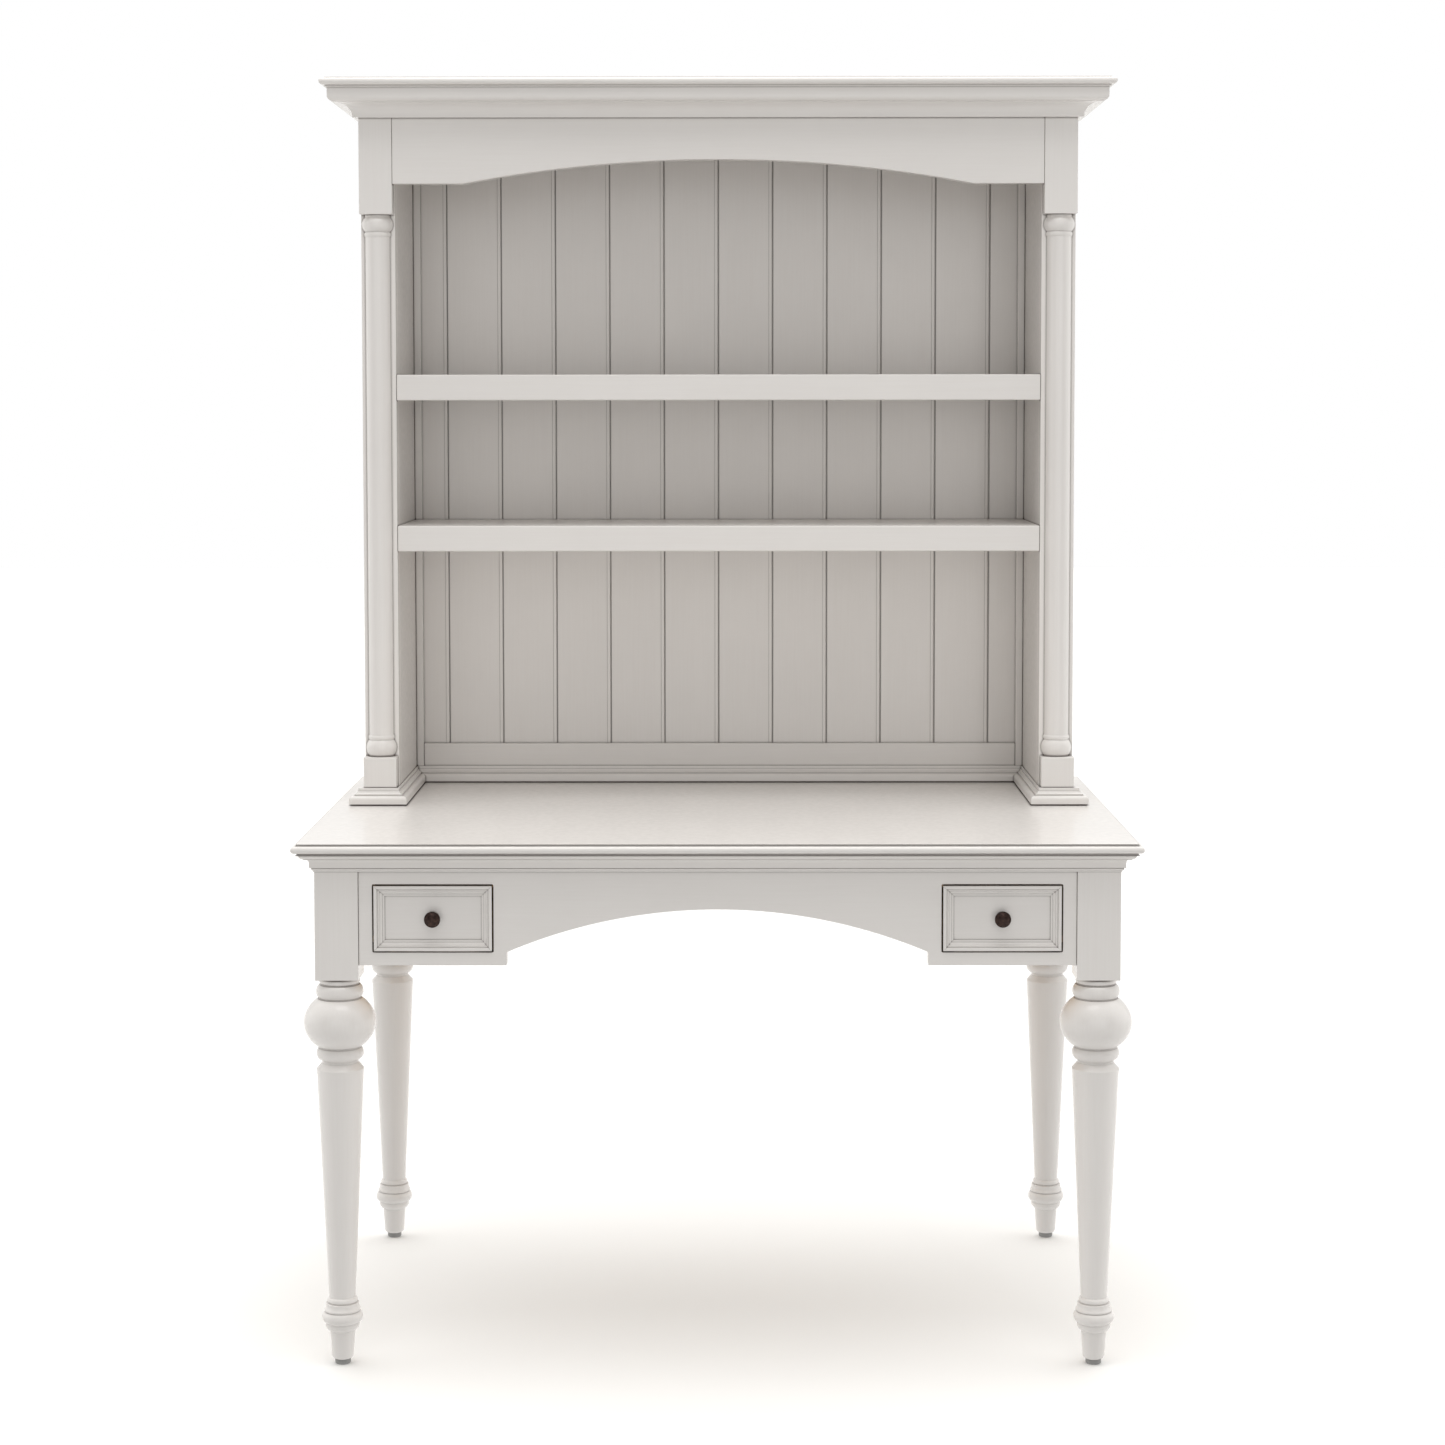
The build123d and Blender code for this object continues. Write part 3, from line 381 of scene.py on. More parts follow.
def only(piece):
    """Makes a piece the one selected and active object."""
    clear_selection()
    piece.select_set(True)
    bpy.context.view_layer.objects.active = piece


def named(name):
    """Names the primitive that was just added."""
    piece = bpy.context.object
    piece.name = name
    piece.data.name = name
    return piece


def outline_piece(name, points, filled=True):
    """A circle of as many corners as the outline, each moved to its place."""
    clear_selection()
    bpy.ops.mesh.primitive_circle_add(vertices=len(points), fill_type="NGON" if filled else "NOTHING")
    piece = named(name)
    for vertex, point in zip(piece.data.vertices, points):
        vertex.co = point
    return piece


def edit_all(piece):
    """Edit mode on a piece, with all of it selected."""
    only(piece)
    bpy.ops.object.mode_set(mode="EDIT")
    bpy.ops.mesh.select_all(action="SELECT")


def select_where(piece, kind, chosen):
    """Edit mode on a piece, with only its chosen edges or faces selected."""
    only(piece)
    bpy.ops.object.mode_set(mode="EDIT")
    bpy.ops.mesh.select_mode(type=kind)
    bpy.ops.mesh.select_all(action="DESELECT")
    bpy.ops.object.mode_set(mode="OBJECT")
    for element in piece.data.edges if kind == "EDGE" else piece.data.polygons:
        element.select = chosen(element)
    bpy.ops.object.mode_set(mode="EDIT")


def cut_off(piece, corner, normal):
    """Takes away what lies on the normal's side of a plane, and closes the cut."""
    edit_all(piece)
    bpy.ops.mesh.bisect(plane_co=corner, plane_no=normal, use_fill=True, clear_outer=True)
    bpy.ops.object.mode_set(mode="OBJECT")


def extrude_outline(name, points, run):
    """An outline pulled along a vector into a closed solid."""
    piece = outline_piece(name, points)
    edit_all(piece)
    bpy.ops.mesh.extrude_region_move(TRANSFORM_OT_translate={"value": run})
    bpy.ops.mesh.select_all(action="SELECT")
    bpy.ops.mesh.normals_make_consistent(inside=False)
    bpy.ops.object.mode_set(mode="OBJECT")
    return piece


def block(name, low, high):
    """A plain block between two corners, the start of every flat board."""
    clear_selection()
    low, high = Vector(low), Vector(high)
    bpy.ops.mesh.primitive_cube_add(size=1, location=(low + high) / 2, scale=high - low)
    piece = named(name)
    bpy.ops.object.transform_apply(location=True, rotation=True, scale=True)
    return piece


def moulding(name, outline, start, end, outward, start_mitre, end_mitre):
    """A straight moulding between two corners of a face.

    A mitre of 1 is an outside one, -1 an inside one, and 0 a square end.
    """
    start, end, outward = Vector(start), Vector(end), Vector(outward)
    along = (end - start).normalized()
    room = along * MITRE_ROOM * MM
    points = [start - room + outward * x * MM + UP * y * MM for x, y in trace(outline)]
    piece = extrude_outline(name, points, end - start + 2 * room)
    cut_off(piece, start, -along - outward * start_mitre)
    cut_off(piece, end, along - outward * end_mitre)
    return piece


def turned(name, outline, centre, axis, outward, steps):
    """An outline of radius and distance along an axis, spun about it."""
    centre, axis, outward = Vector(centre), Vector(axis), Vector(outward)
    points = [centre + outward * r * MM + axis * along * MM for r, along in outline]
    piece = outline_piece(name, points, filled=False)
    ends = {0, len(points) - 1}
    select_where(piece, "EDGE", lambda edge: set(edge.vertices) == ends)
    bpy.ops.mesh.delete(type="EDGE")
    bpy.ops.mesh.select_all(action="SELECT")
    bpy.ops.mesh.spin(steps=steps, angle=math.tau, center=centre, axis=axis)
    bpy.ops.mesh.select_all(action="SELECT")
    bpy.ops.mesh.remove_doubles(threshold=MERGE_DISTANCE)
    bpy.ops.mesh.dissolve_degenerate(threshold=MERGE_DISTANCE)
    bpy.ops.mesh.select_all(action="SELECT")
    bpy.ops.mesh.normals_make_consistent(inside=False)
    bpy.ops.mesh.select_mode(type="VERT")
    bpy.ops.object.mode_set(mode="OBJECT")
    return piece


def joined(name, parts):
    """Several solids as one piece."""
    clear_selection()
    for part in parts:
        part.select_set(True)
    bpy.context.view_layer.objects.active = parts[0]
    bpy.ops.object.join()
    return named(name)


def copied(piece, name, move):
    """A copy of a piece with its own mesh, moved to its place."""
    only(piece)
    bpy.ops.object.duplicate(linked=False)
    copy = named(name)
    bpy.ops.transform.translate(value=move)
    bpy.ops.object.transform_apply(location=True, rotation=False, scale=False)
    return copy


def ease(piece, width):
    """Rounds every sharp edge as sanding and paint do, and keeps the flats flat in the shading."""
    only(piece)
    bpy.ops.object.shade_smooth()
    bevel = piece.modifiers.new("Eased edges", "BEVEL")
    bevel.width = width
    bevel.segments = 3
    bevel.limit_method = "ANGLE"
    bevel.angle_limit = math.radians(38)
    bevel.miter_outer = "MITER_ARC"
    flats = piece.modifiers.new("Flat faces", "WEIGHTED_NORMAL")
    flats.keep_sharp = True
    for name in ("Eased edges", "Flat faces"):
        bpy.ops.object.modifier_apply(modifier=name)


def place(piece, finish, nodes, body="root"):
    """Gives a finished piece its material and its body, and hides the CAD nodes that it stands for."""
    piece.data.materials.clear()
    piece.data.materials.append(finish_named(finish))
    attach(piece, body)
    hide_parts(*nodes)


def painted_board(node, axis, low=None, high=None, name=None, width=None):
    """An eased, painted board in the place of a CAD node, or of one solid of it."""
    sizes = bpy.context.scene.desk_sizes
    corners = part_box(node) if low is None else (low, high)
    piece = block(name or f"{node}_board", *corners)
    ease(piece, width or sizes.board_ease)
    place(piece, f"satin_paint_{axis}", [node])
    return piece


# ---------------------------------------------------------------- what a user may change
def length(name, millimetres, description):
    """A length that a user may change."""
    return FloatProperty(name=name, description=description, default=millimetres * MM, min=0, unit="LENGTH")


def colour(name, hex_colour, description):
    """A colour that a user may change."""
    return FloatVectorProperty(name=name, description=description, subtype="COLOR", size=3, min=0, max=1,
                               default=linear(hex_colour))


class DeskSizes(bpy.types.PropertyGroup):
    """Sizes of the finish, all below those that the frame sets."""

    board_ease: length("Board edges", 1.1, "Radius that sanding and paint leave on the edge of a board")
    moulding_ease: length("Moulding edges", 0.45, "Radius on the edges of a moulding or a turning")
    bead_width: length("Bead", 5.6, "Width of the bead beside each joint of the back boards")
    quirk_width: length("Quirk", 1.6, "Width of the sunk line between a bead and the joint")
    bead_line: length("Bead line", 0.7, "Width and depth of the fine line on a bead's other side")
    turning_steps: IntProperty(
        name="Turning steps", description="Facets round a turned leg or column", default=72, min=24)


class DeskColours(bpy.types.PropertyGroup):
    """Colours of the finishes."""

    paint: colour("Paint", "#E8E4E0", "Main colour of the satin paint")
    paint_shade: colour("Paint tone", "#E2DEDA", "The paint where its tone drifts")
    paint_streak: colour("Brush streak", "#D8D0CA", "Thin paint between the brush marks")
    # Colour of the painted shade in corners and grooves.
    painted_corner_shade: colour("Painted corner shade", "#574A42", "Brown tone that stays in the corners and grooves")
    bronze: colour("Patina", "#2E2422", "Dark patina of the knobs")
    bronze_rubbed: colour("Rubbed metal", "#4A3831", "Metal that shows through the patina")
    pine: colour("Pine", "#DDBF92", "Pale wood of the drawer boxes")
    pine_grain: colour("Pine grain", "#C79C66", "Dark grain of the drawer boxes")


# ---------------------------------------------------------------- the desk
class DESK_OT_top(bpy.types.Operator):
    """Top board: a half-round nose with a small step above it and a recess below"""
    bl_idname = "desk.top"
    bl_label = "Desk top"

    def execute(self, context):
        low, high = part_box("desk_top")
        nose_bottom = high[2] - NOSE_BOTTOM * MM
        nose_top = high[2] - NOSE_TOP * MM
        piece = block("desk_top_board", (low[0], low[1], nose_bottom), (high[0], high[1], nose_top))

        def is_level(edge):
            heights = [piece.data.vertices[i].co.z for i in edge.vertices]
            return abs(heights[0] - heights[1]) < MM

        select_where(piece, "EDGE", is_level)
        bpy.ops.mesh.bevel(offset=NOSE_ROUND * MM, segments=8, affect="EDGES")
        steps = ((nose_top, NOSE_STEP * MM, NOSE_TOP * MM),
                 (nose_bottom, RECESS_WIDTH * MM, -RECESS_DEPTH * MM))
        for height, inset, rise in steps:
            select_where(piece, "FACE", lambda face: (
                abs(face.center.z - height) < 0.1 * MM and abs(face.normal.z) > 0.99))
            bpy.ops.mesh.inset(thickness=inset)
            bpy.ops.mesh.extrude_region_move(TRANSFORM_OT_translate={"value": (0, 0, rise)})
        bpy.ops.mesh.select_mode(type="VERT")
        ease(piece, TOP_EASE)
        place(piece, "satin_paint_x", ["desk_top"])
        return {"FINISHED"}


class DESK_OT_mouldings(bpy.types.Operator):
    """The four mitred mouldings under the top board"""
    bl_idname = "desk.mouldings"
    bl_label = "Desk mouldings"

    def execute(self, context):
        low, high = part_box("desk_moulding_front")[0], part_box("desk_moulding_rear")[1]
        depth = DESK_MOULDING[1][0] * MM
        x0, y0 = low[0] + depth, low[1] + depth
        x1, y1 = high[0] - depth, high[1] - depth
        top = high[2]
        runs = {
            "front": ((x0, y0, top), (x1, y0, top), (0, -1, 0), "x"),
            "right": ((x1, y0, top), (x1, y1, top), (1, 0, 0), "y"),
            "rear": ((x1, y1, top), (x0, y1, top), (0, 1, 0), "x"),
            "left": ((x0, y1, top), (x0, y0, top), (-1, 0, 0), "y"),
        }
        for side, (start, end, outward, axis) in runs.items():
            piece = moulding(f"desk_moulding_{side}_run", DESK_MOULDING, start, end, outward, 1, 1)
            ease(piece, context.scene.desk_sizes.moulding_ease)
            place(piece, f"satin_paint_{axis}", [f"desk_moulding_{side}"])
        return {"FINISHED"}


class DESK_OT_legs(bpy.types.Operator):
    """The four turned legs with their square blocks, and their glides"""
    bl_idname = "desk.legs"
    bl_label = "Legs"

    def execute(self, context):
        sizes = context.scene.desk_sizes
        half = LEG_BLOCK_HALF * MM
        low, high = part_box("leg_front_left")
        x, y = (low[0] + high[0]) / 2, (low[1] + high[1]) / 2
        head = block("leg_head", (x - half, y - half, LEG_BLOCK_FOOT * MM), (x + half, y + half, high[2]))
        ease(head, sizes.board_ease)
        turning = turned("leg_turning", trace(LEG_TURNING), (x, y, 0), (0, 0, 1), (1, 0, 0),
                         steps=sizes.turning_steps)
        ease(turning, sizes.moulding_ease)
        legs = {"front_left": joined("leg_front_left_painted", [head, turning])}
        for corner in ("front_right", "rear_left", "rear_right"):
            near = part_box(f"leg_{corner}")[0]
            legs[corner] = copied(legs["front_left"], f"leg_{corner}_painted",
                                  (near[0] - low[0], near[1] - low[1], 0))
        for corner, leg in legs.items():
            place(leg, "satin_paint_z", [f"leg_{corner}"])
        low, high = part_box("leg_glides")
        reach = GLIDE_RADIUS * MM
        glide = [(0, GLIDE_HEIGHT), (GLIDE_RADIUS, GLIDE_HEIGHT), (GLIDE_RADIUS, GLIDE_CHAMFER),
                 (GLIDE_RADIUS - GLIDE_CHAMFER, 0), (0, 0)]
        discs = [turned(f"glide_disc_{x}_{y}", glide, (x, y, 0), (0, 0, 1), (1, 0, 0), steps=GLIDE_STEPS)
                 for x in (low[0] + reach, high[0] - reach) for y in (low[1] + reach, high[1] - reach)]
        piece = joined("leg_glide_discs", discs)
        ease(piece, GLIDE_EASE)
        place(piece, "glide_nylon", ["leg_glides"])
        return {"FINISHED"}


class DESK_OT_aprons(bpy.types.Operator):
    """Front apron with its arch and drawer openings, and the three plain aprons"""
    bl_idname = "desk.aprons"
    bl_label = "Aprons"

    def execute(self, context):
        low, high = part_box("front_apron")
        half = high[0] / MM
        foot, top = low[2] / MM, high[2] / MM
        arch, spring = APRON_ARCH_HALF, APRON_ARCH_FOOT
        outline = [(arch, spring), (arch, foot), (half, foot), (half, top), (-half, top), (-half, foot),
                   (-arch, foot), (-arch, spring), ((0, APRON_ARCH_CROWN), (arch, spring))]
        points = [(x * MM, low[1], z * MM) for x, z in trace(outline, steps=ARCH_STEPS)[:-1]]
        apron = extrude_outline("front_apron_board", points, (0, high[1] - low[1], 0))
        gap = OPENING_GAP * MM
        for side in SIDES:
            near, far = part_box(f"{side}_drawer_frame")
            cutter = block(f"{side}_opening", (near[0] - gap, low[1] - CUTTER_ROOM, near[2] - gap),
                           (far[0] + gap, high[1] + CUTTER_ROOM, far[2] + gap))
            cut = apron.modifiers.new("Drawer opening", "BOOLEAN")
            cut.operation = "DIFFERENCE"
            cut.solver = "EXACT"
            cut.object = cutter
            only(apron)
            bpy.ops.object.modifier_apply(modifier=cut.name)
            bpy.data.objects.remove(cutter)
        ease(apron, context.scene.desk_sizes.board_ease)
        place(apron, "satin_paint_x", ["front_apron"])
        for node, axis in (("rear_apron", "x"), ("left_apron", "y"), ("right_apron", "y")):
            painted_board(node, axis)
        return {"FINISHED"}


class DESK_OT_drawers(bpy.types.Operator):
    """Drawer fronts with their mitred frame mouldings, knobs, boxes and guides"""
    bl_idname = "desk.drawers"
    bl_label = "Drawers"

    def execute(self, context):
        low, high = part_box("left_drawer_front")
        panel = block("left_drawer_panel", low, high)
        ease(panel, PANEL_EASE)
        middle = (Vector(low) + Vector(high)) / 2
        half_wide, half_high = (high[0] - low[0]) / 2, (high[2] - low[2]) / 2
        face = Vector((middle.x, low[1], middle.z))
        inwards = (((1, 0, 0), half_wide, half_high), ((-1, 0, 0), half_wide, half_high),
                   ((0, 0, 1), half_high, half_wide), ((0, 0, -1), half_high, half_wide))
        strips = [frame_strip("frame_strip", face, Vector(inward), reach, half)
                  for inward, reach, half in inwards]
        strip_frame = joined("left_drawer_moulding", strips)
        ease(strip_frame, FRAME_EASE)
        knob = turned("left_knob_turning", trace(KNOB, steps=10), face, (0, -1, 0), (1, 0, 0),
                      steps=KNOB_STEPS)
        ease(knob, KNOB_EASE)
        across = (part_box("right_drawer_front")[0][0] - low[0], 0, 0)
        fronts = {"left": (panel, strip_frame, knob)}
        fronts["right"] = [copied(piece, piece.name.replace("left", "right"), across)
                           for piece in fronts["left"]]
        for side, (panel, strip_frame, knob) in fronts.items():
            body = f"{side}_drawer"
            place(panel, "satin_paint_x", [f"{side}_drawer_front"], body)
            place(strip_frame, "satin_paint_x", [f"{side}_drawer_frame"], body)
            place(knob, "antique_bronze", [f"{side}_drawer_knob"], body)
            for node in (f"{side}_drawer_box", f"{side}_drawer_bottom", f"{side}_drawer_guides"):
                paint_node(node, "lacquered_pine")
            paint_node(f"{side}_knob_screw", "zinc_plate")
        paint_node("drawer_stops", "lacquered_pine")
        return {"FINISHED"}


def frame_strip(name, face, inward, reach, half):
    """One mitred strip of a drawer's frame, along the edge that lies opposite to inward.

    The edge is at a distance of reach from the face's middle, and half is half of its length.
    """
    out = Vector((0, -1, 0))
    run = out.cross(inward)
    edge = face - inward * reach
    room = run * FRAME_MITRE_ROOM * MM
    points = [edge - run * half - room + out * x * MM + inward * y * MM
              for x, y in trace(FRAME_STRIP, steps=5)]
    piece = extrude_outline(name, points, run * 2 * half + 2 * room)
    cut_off(piece, edge + run * half, run + inward)
    cut_off(piece, edge - run * half, inward - run)
    return piece


def paint_node(node, finish):
    """Gives a CAD node that stays in view its material."""
    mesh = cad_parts[node].data
    mesh.materials.clear()
    mesh.materials.append(finish_named(finish))


class DESK_OT_hardware(bpy.types.Operator):
    """Finishes of the dowels, brackets and screws"""
    bl_idname = "desk.hardware"
    bl_label = "Hardware"

    def execute(self, context):
        for node in ("apron_dowels", "hutch_shelf_dowels"):
            paint_node(node, "bare_beech")
        for node in ("steel_brackets", "bracket_screws"):
            paint_node(node, "zinc_plate")
        return {"FINISHED"}


# ---------------------------------------------------------------- the hutch
class HUTCH_OT_sides(bpy.types.Operator):
    """Stiles, posts and panels of the two sides"""
    bl_idname = "hutch.sides"
    bl_label = "Hutch sides"

    def execute(self, context):
        for side in SIDES:
            for part in ("stile", "rear_post", "inner_panel", "outer_panel"):
                painted_board(f"hutch_{part}_{side}", "z")
        return {"FINISHED"}


class HUTCH_OT_columns(bpy.types.Operator):
    """Half-round columns with rings and square blocks, planted on the stiles"""
    bl_idname = "hutch.columns"
    bl_label = "Hutch columns"

    def execute(self, context):
        sizes = context.scene.desk_sizes
        low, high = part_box("hutch_column_left")
        centre = (low[0] + high[0]) / 2
        lower_head = low[2] + COLUMN_LOWER_HEAD * MM
        upper_foot = low[2] + COLUMN_UPPER_FOOT * MM
        head = [(r, upper_foot / MM - depth) for r, depth in trace(COLUMN_HEAD)]
        foot = [(r, lower_head / MM - depth) for r, depth in trace(COLUMN_FOOT)]
        shaft = turned("column_turning", head + foot, (centre, high[1], 0), (0, 0, 1), (1, 0, 0),
                       steps=sizes.turning_steps)
        cut_off(shaft, (centre, high[1], 0), (0, 1, 0))
        ease(shaft, sizes.moulding_ease)
        blocks = [block("column_block", (low[0], low[1], foot_z), (high[0], high[1], head_z))
                  for foot_z, head_z in ((low[2], lower_head), (upper_foot, high[2]))]
        for part in blocks:
            ease(part, sizes.board_ease)
        left = joined("hutch_column_left_painted", [shaft, *blocks])
        right = copied(left, "hutch_column_right_painted",
                       (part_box("hutch_column_right")[0][0] - low[0], 0, 0))
        place(left, "satin_paint_z", ["hutch_column_left"])
        place(right, "satin_paint_z", ["hutch_column_right"])
        return {"FINISHED"}


class HUTCH_OT_plinths(bpy.types.Operator):
    """Stepped plinth round the foot of each side and along the back"""
    bl_idname = "hutch.plinths"
    bl_label = "Hutch plinths"

    def execute(self, context):
        width = context.scene.desk_sizes.moulding_ease
        stile_low, stile_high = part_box("hutch_stile_right")
        inner_face, outer_face = stile_low[0], stile_high[0]
        front_depth = stile_low[1]
        low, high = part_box("hutch_plinth_right")
        back_low, back_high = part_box("hutch_back_plinth")
        base = low[2]
        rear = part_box("hutch_rear_post_right")[1][1]
        for side, sign in SIDES.items():
            outer, inner, front = sign * high[0], sign * low[0], low[1]
            xs = sorted((outer, inner))
            runs = [
                moulding(f"plinth_{side}_front", plinth_outline(front_depth - front), (xs[0], front, base),
                         (xs[1], front, base), (0, -1, 0), 1, 1),
                moulding(f"plinth_{side}_outer", plinth_outline(high[0] - outer_face), (outer, front, base),
                         (outer, rear, base), (sign, 0, 0), 1, 0),
                moulding(f"plinth_{side}_inner", plinth_outline(inner_face - low[0]), (inner, front, base),
                         (inner, back_low[1], base), (-sign, 0, 0), 1, -1),
            ]
            piece = joined(f"hutch_plinth_{side}_runs", runs)
            ease(piece, width)
            place(piece, "satin_paint_y", [f"hutch_plinth_{side}"])
        run = moulding("hutch_back_plinth_run", plinth_outline(back_high[1] - back_low[1]),
                       (-low[0], back_low[1], base), (low[0], back_low[1], base), (0, -1, 0), -1, -1)
        ease(run, width)
        place(run, "satin_paint_x", ["hutch_back_plinth"])
        return {"FINISHED"}


def plinth_outline(depth):
    """The plinth's section, from its front edge back to the face behind it."""
    back = -depth / MM
    return PLINTH_FACE + [(back, PLINTH_FACE[-1][1]), (back, 0)]


class HUTCH_OT_cornice(bpy.types.Operator):
    """Three mitred runs of crown moulding, the top board and the arched valance"""
    bl_idname = "hutch.cornice"
    bl_label = "Cornice and valance"

    def execute(self, context):
        width = context.scene.desk_sizes.moulding_ease
        low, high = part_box("hutch_top_board")
        corners = [Vector((low[0], high[1], high[2])), Vector((low[0], low[1], high[2])),
                   Vector((high[0], low[1], high[2])), Vector((high[0], high[1], high[2]))]
        runs = {
            "left": (corners[0], corners[1], (-1, 0, 0), 0, 1, "y"),
            "front": (corners[1], corners[2], (0, -1, 0), 1, 1, "x"),
            "right": (corners[2], corners[3], (1, 0, 0), 1, 0, "y"),
        }
        for side, (start, end, outward, first, last, axis) in runs.items():
            piece = moulding(f"hutch_cornice_{side}_run", CORNICE, start, end, outward, first, last)
            ease(piece, width)
            place(piece, f"satin_paint_{axis}", [f"hutch_cornice_{side}"])
        painted_board("hutch_top_board", "x")

        low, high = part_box("hutch_valance")
        half, foot, top = high[0] / MM, low[2] / MM, high[2] / MM
        arch = VALANCE_ARCH_HALF
        outline = [(arch, foot), (half, foot), (half, top), (-half, top), (-half, foot), (-arch, foot),
                   ((0, foot + VALANCE_ARCH_RISE), (arch, foot))]
        points = [(x * MM, low[1], z * MM) for x, z in trace(outline, steps=ARCH_STEPS)[:-1]]
        valance = extrude_outline("hutch_valance_board", points, (0, high[1] - low[1], 0))
        ease(valance, context.scene.desk_sizes.board_ease)
        place(valance, "satin_paint_x", ["hutch_valance"])
        return {"FINISHED"}


class HUTCH_OT_shelves(bpy.types.Operator):
    """Two shelves with deep front lippings"""
    bl_idname = "hutch.shelves"
    bl_label = "Shelves"

    def execute(self, context):
        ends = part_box("hutch_shelf_lippings")
        for level in ("upper", "lower"):
            painted_board(f"hutch_{level}_shelf", "x", width=SHELF_EASE)
            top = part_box(f"hutch_{level}_shelf")[1][2]
            low, high = (*ends[0][:2], top - LIPPING_DROP * MM), (*ends[1][:2], top)
            painted_board("hutch_shelf_lippings", "x", low, high, name=f"hutch_{level}_lipping",
                          width=LIPPING_EASE)
        return {"FINISHED"}


class HUTCH_OT_back(bpy.types.Operator):
    """Beaded back boards, the rail across their foot and the corner battens"""
    bl_idname = "hutch.back"
    bl_label = "Hutch back"

    def execute(self, context):
        low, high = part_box("hutch_back_boards")
        pitch = BACK_PITCH * MM
        first, last = -BACK_JOINT * pitch, BACK_JOINT * pitch
        boards = [self.board(context, 1, low[0], first, True),
                  self.board(context, 2, first, first + pitch, True)]
        for number in range(3, BACK_BOARDS):
            boards.append(copied(boards[1], f"back_board_{number:02d}", ((number - 2) * pitch, 0, 0)))
        boards.append(self.board(context, BACK_BOARDS, last, high[0], False))
        for piece in boards:
            # The back boards take the lighter painted shade in their grooves.
            place(piece, "satin_paint_thin_glaze", ["hutch_back_boards"])
        painted_board("hutch_back_rail", "x")
        low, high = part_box("hutch_corner_battens")
        for side, sign in SIDES.items():
            xs = sorted((sign * high[0], sign * (high[0] - (high[1] - low[1]))))
            painted_board("hutch_corner_battens", "z", (xs[0], low[1], low[2]),
                          (xs[1], high[1], high[2]), name=f"hutch_batten_{side}")
        return {"FINISHED"}

    def board(self, context, number, left, right, beaded):
        """One upright board. A beaded one has a bead beside its right-hand joint.

        A fine line is cut on the bead's left, and a wider quirk between the bead and the joint.
        """
        sizes = context.scene.desk_sizes
        low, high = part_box("hutch_back_boards")
        left, right, face, rear = left / MM, right / MM, low[1] / MM, high[1] / MM
        bead, fine = sizes.bead_width / MM, sizes.bead_line / MM
        edge = right - sizes.quirk_width / MM
        start, floor = edge - bead, face + bead / 2
        round_off = bead / 2 * (1 - math.sqrt(0.5))
        outline = [(left, rear), (left, face)]
        if beaded:
            outline += [(start - fine, face), (start - fine, face + fine), (start, face + fine),
                        (start, face), (edge - bead / 2, face),
                        ((edge - round_off, face + round_off), (edge, floor)),
                        (edge, floor + QUIRK_DEPTH), (right, floor + QUIRK_DEPTH)]
        else:
            outline += [(right, face)]
        outline += [(right, rear)]
        points = [(x * MM, y * MM, low[2]) for x, y in trace(outline)]
        piece = extrude_outline(f"back_board_{number:02d}", points, (0, 0, high[2] - low[2]))
        ease(piece, BACK_EASE)
        return piece


# ---------------------------------------------------------------- stage
# Side of the square floor and its middle, in metres.
FLOOR_SIZE = 30
FLOOR_MIDDLE = (0, 6, 0)

# Brightness of the world by direction. Each part is spread between two values of one component of the
# direction, and the parts are added up.
WORLD_PARTS = (
    ("Y", -0.5, 0.5, 0.04, 0.85),     # dim on the viewer's side, bright behind the desk
    ("Z", 0.45, 1.0, 0.0, 1.60),      # ceiling
    ("Y", -0.95, -0.75, 1.2, 0.0),    # soft patch behind the viewer, which lights the inside
    ("Z", -1.0, -0.3, 0.75, 0.0),     # below, in place of light from the floor
    ("X", 0.70, 0.95, 0.0, 0.8),      # to the left and right, by the size of X
)
WORLD_TINT = (1.0, 0.998, 0.99, 1)
BACKDROP = (1.0, 1.0, 1.0, 1)
# Name, position and target in metres, width and height in metres, and power in watts.
LAMPS = (
    ("overhead", (0.0, -0.9, 4.2), (0.0, 0.0, 0.8), (2.0, 2.0), 30),
    ("strip", (1.6, -3.8, 1.5), (0.0, 0.0, 1.3), (0.15, 2.4), 5),
)

# Position in metres, angles in degrees, lens and sensor in millimetres, shift in widths of the picture.
CAMERA_PLACE = (0.0228, -4.607, 1.420)
CAMERA_TURN = 0.203
CAMERA_DOWN = 3.593
CAMERA_ROLL = -0.049
CAMERA_LENS = 72.92
CAMERA_SENSOR = 36
CAMERA_SHIFT = -0.0917
CAMERA_FAR = 100


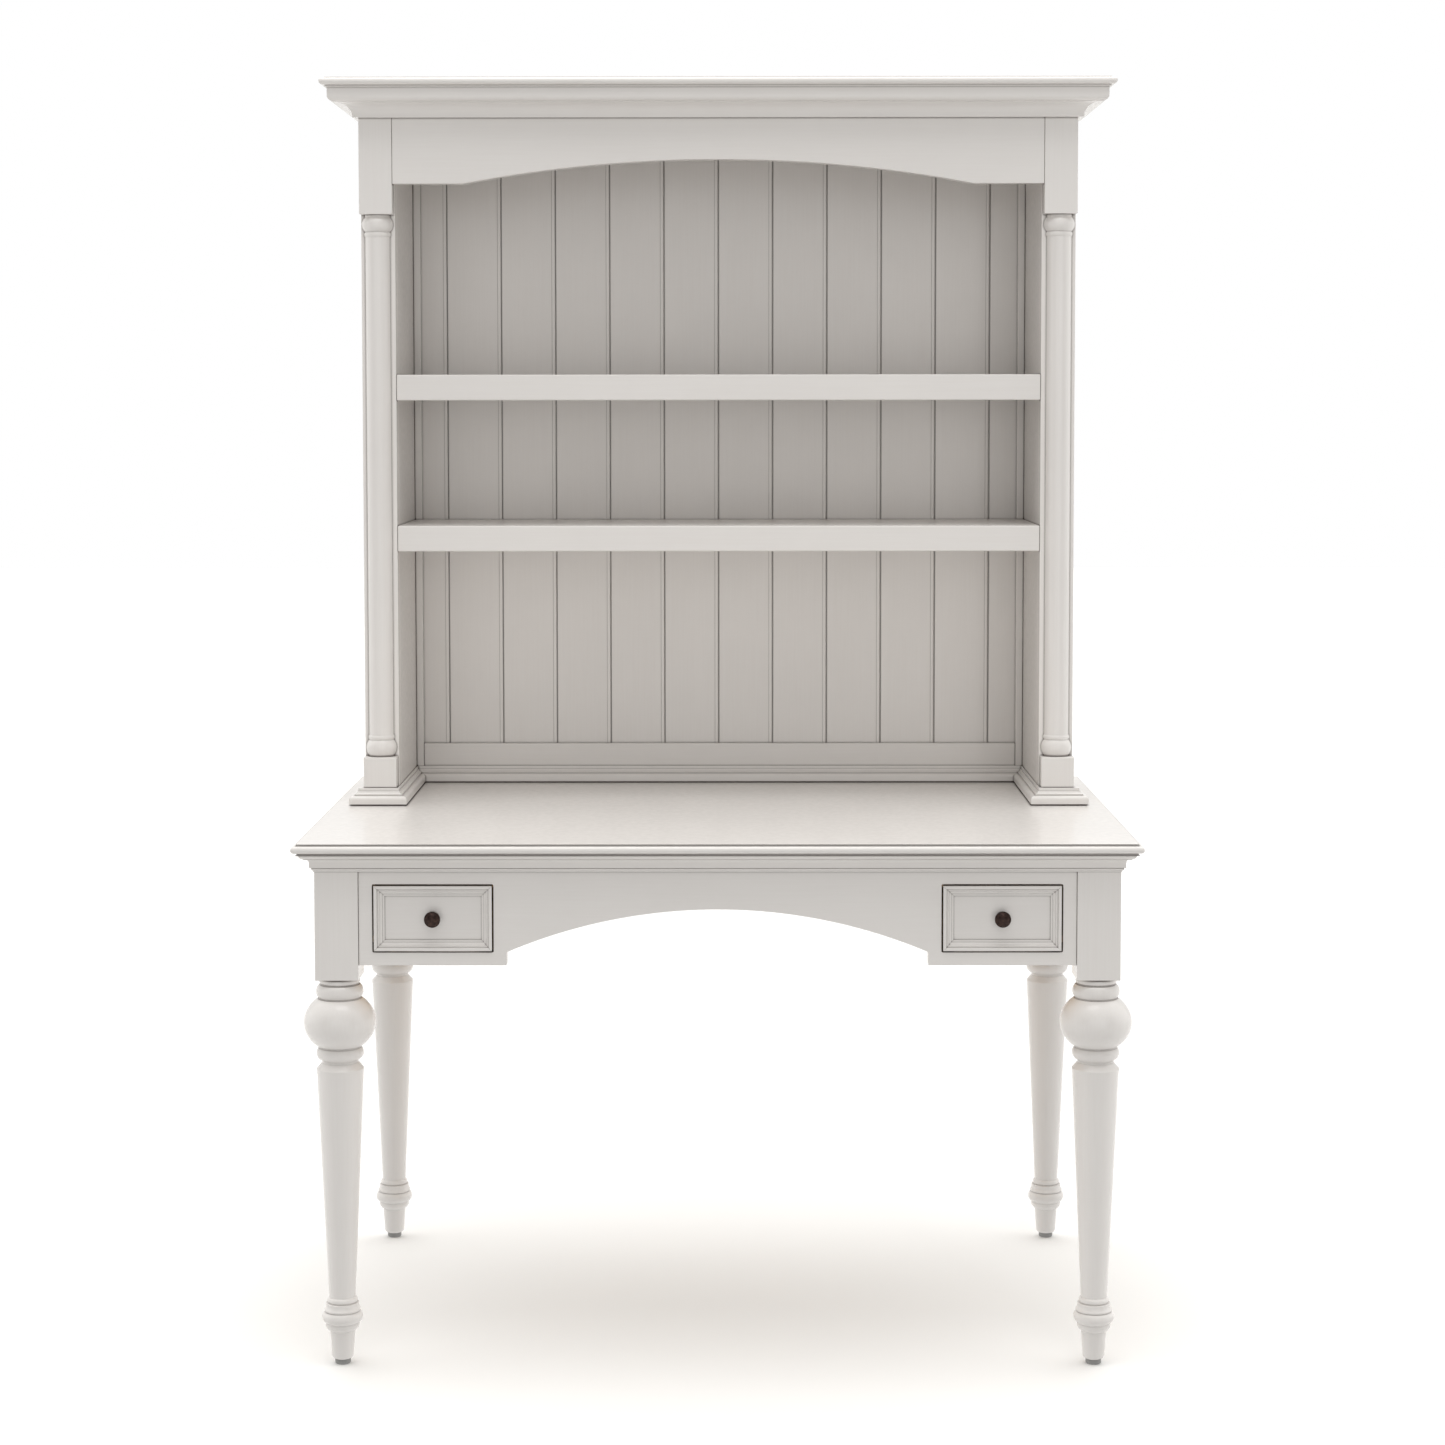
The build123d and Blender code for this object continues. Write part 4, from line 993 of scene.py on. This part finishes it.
class DESK_OT_stage(bpy.types.Operator):
    """Pale floor and backdrop, soft light and the camera"""
    bl_idname = "desk.stage"
    bl_label = "Stage, light and camera"

    def execute(self, context):
        clear_selection()
        bpy.ops.mesh.primitive_plane_add(size=FLOOR_SIZE, location=FLOOR_MIDDLE)
        floor = named("floor")
        bpy.ops.object.transform_apply(location=True, rotation=True, scale=True)
        material, tree = new_material("pale_floor")
        surface(tree, {"Base Color": (*linear("#F6F5F3"), 1), "Roughness": 0.9})
        floor.data.materials.append(material)
        # A white floor would throw too much light up on the fronts, and it would hide the part of the
        # world that is below it.
        floor.visible_diffuse = False
        floor.visible_shadow = False
        self.light(context)
        self.lamps()
        self.camera(context)
        return {"FINISHED"}

    def light(self, context):
        """A bright room round the desk, dim on the viewer's side. The camera sees a white backdrop."""
        context.scene.view_settings.view_transform = "Standard"
        world = bpy.data.worlds.new("studio")
        context.scene.world = world
        world.use_nodes = True
        tree = world.node_tree
        tree.nodes.clear()
        direction = add_node(tree, "ShaderNodeTexCoord").outputs["Generated"]
        split = add_node(tree, "ShaderNodeSeparateXYZ", {"Vector": direction})
        across = add_node(tree, "ShaderNodeMath", {0: split.outputs["X"]}, operation="ABSOLUTE")
        values = {"X": across.outputs[0], "Y": split.outputs["Y"], "Z": split.outputs["Z"]}
        total = None
        for component, *limits in WORLD_PARTS:
            part = remap(tree, values[component], *limits)
            if total is None:
                total = part
            else:
                total = add_node(tree, "ShaderNodeMath", {0: total, 1: part}, operation="ADD").outputs[0]
        glow = add_node(tree, "ShaderNodeBackground", {"Color": WORLD_TINT, "Strength": total})
        backdrop = add_node(tree, "ShaderNodeBackground", {"Color": BACKDROP, "Strength": 1.0})
        seen = add_node(tree, "ShaderNodeLightPath").outputs["Is Camera Ray"]
        mixed = add_node(tree, "ShaderNodeMixShader", {
            0: seen, 1: glow.outputs[0], 2: backdrop.outputs[0]})
        add_node(tree, "ShaderNodeOutputWorld", {"Surface": mixed.outputs[0]})

    def lamps(self):
        """A soft lamp overhead and a thin upright one at the right, which draws the highlights."""
        for name, position, target, (wide, tall), power in LAMPS:
            clear_selection()
            bpy.ops.object.light_add(type="AREA", location=position)
            lamp = bpy.context.object
            lamp.name = name
            lamp.data.shape = "RECTANGLE"
            lamp.data.size = wide
            lamp.data.size_y = tall
            lamp.data.energy = power
            aim = Vector(target) - Vector(position)
            lamp.rotation_euler = aim.to_track_quat("-Z", "Y").to_euler()

    def camera(self, context):
        """Eye height camera, square on to the desk and looking slightly down."""
        clear_selection()
        bpy.ops.object.camera_add()
        camera = bpy.context.object
        camera.name = "camera"
        turn = Matrix.Rotation(math.radians(CAMERA_TURN), 4, "Z")
        tilt = Matrix.Rotation(math.radians(90 - CAMERA_DOWN), 4, "X")
        roll = Matrix.Rotation(math.radians(CAMERA_ROLL), 4, "Z")
        camera.matrix_world = Matrix.Translation(CAMERA_PLACE) @ turn @ tilt @ roll
        camera.data.lens = CAMERA_LENS
        camera.data.sensor_width = CAMERA_SENSOR
        camera.data.shift_y = CAMERA_SHIFT
        camera.data.clip_end = CAMERA_FAR
        context.scene.camera = camera


OPERATORS = (
    DESK_OT_top, DESK_OT_mouldings, DESK_OT_legs, DESK_OT_aprons, DESK_OT_drawers, DESK_OT_hardware,
    HUTCH_OT_sides, HUTCH_OT_columns, HUTCH_OT_plinths, HUTCH_OT_cornice, HUTCH_OT_shelves, HUTCH_OT_back,
    DESK_OT_stage)


class DESK_PT_build(bpy.types.Panel):
    """Every step of the build, in order"""
    bl_idname = "DESK_PT_build"
    bl_label = "Desk with hutch"
    bl_space_type = "VIEW_3D"
    bl_region_type = "UI"
    bl_category = "Desk"

    def draw(self, context):
        for operator in OPERATORS:
            self.layout.operator(operator.bl_idname)
        for group in (context.scene.desk_sizes, context.scene.desk_colours):
            for name in group.__annotations__:
                self.layout.prop(group, name)


CLASSES = (DeskSizes, DeskColours, *OPERATORS, DESK_PT_build)


def register():
    for cls in CLASSES:
        bpy.utils.register_class(cls)
    bpy.types.Scene.desk_sizes = PointerProperty(type=DeskSizes)
    bpy.types.Scene.desk_colours = PointerProperty(type=DeskColours)


def unregister():
    del bpy.types.Scene.desk_colours
    del bpy.types.Scene.desk_sizes
    for cls in reversed(CLASSES):
        bpy.utils.unregister_class(cls)


def main():
    """Builds every piece in order."""
    register()
    for operator in OPERATORS:
        group, call = operator.bl_idname.split(".")
        getattr(getattr(bpy.ops, group), call)()
    clear_selection()


if __name__ == "__main__":
    main()
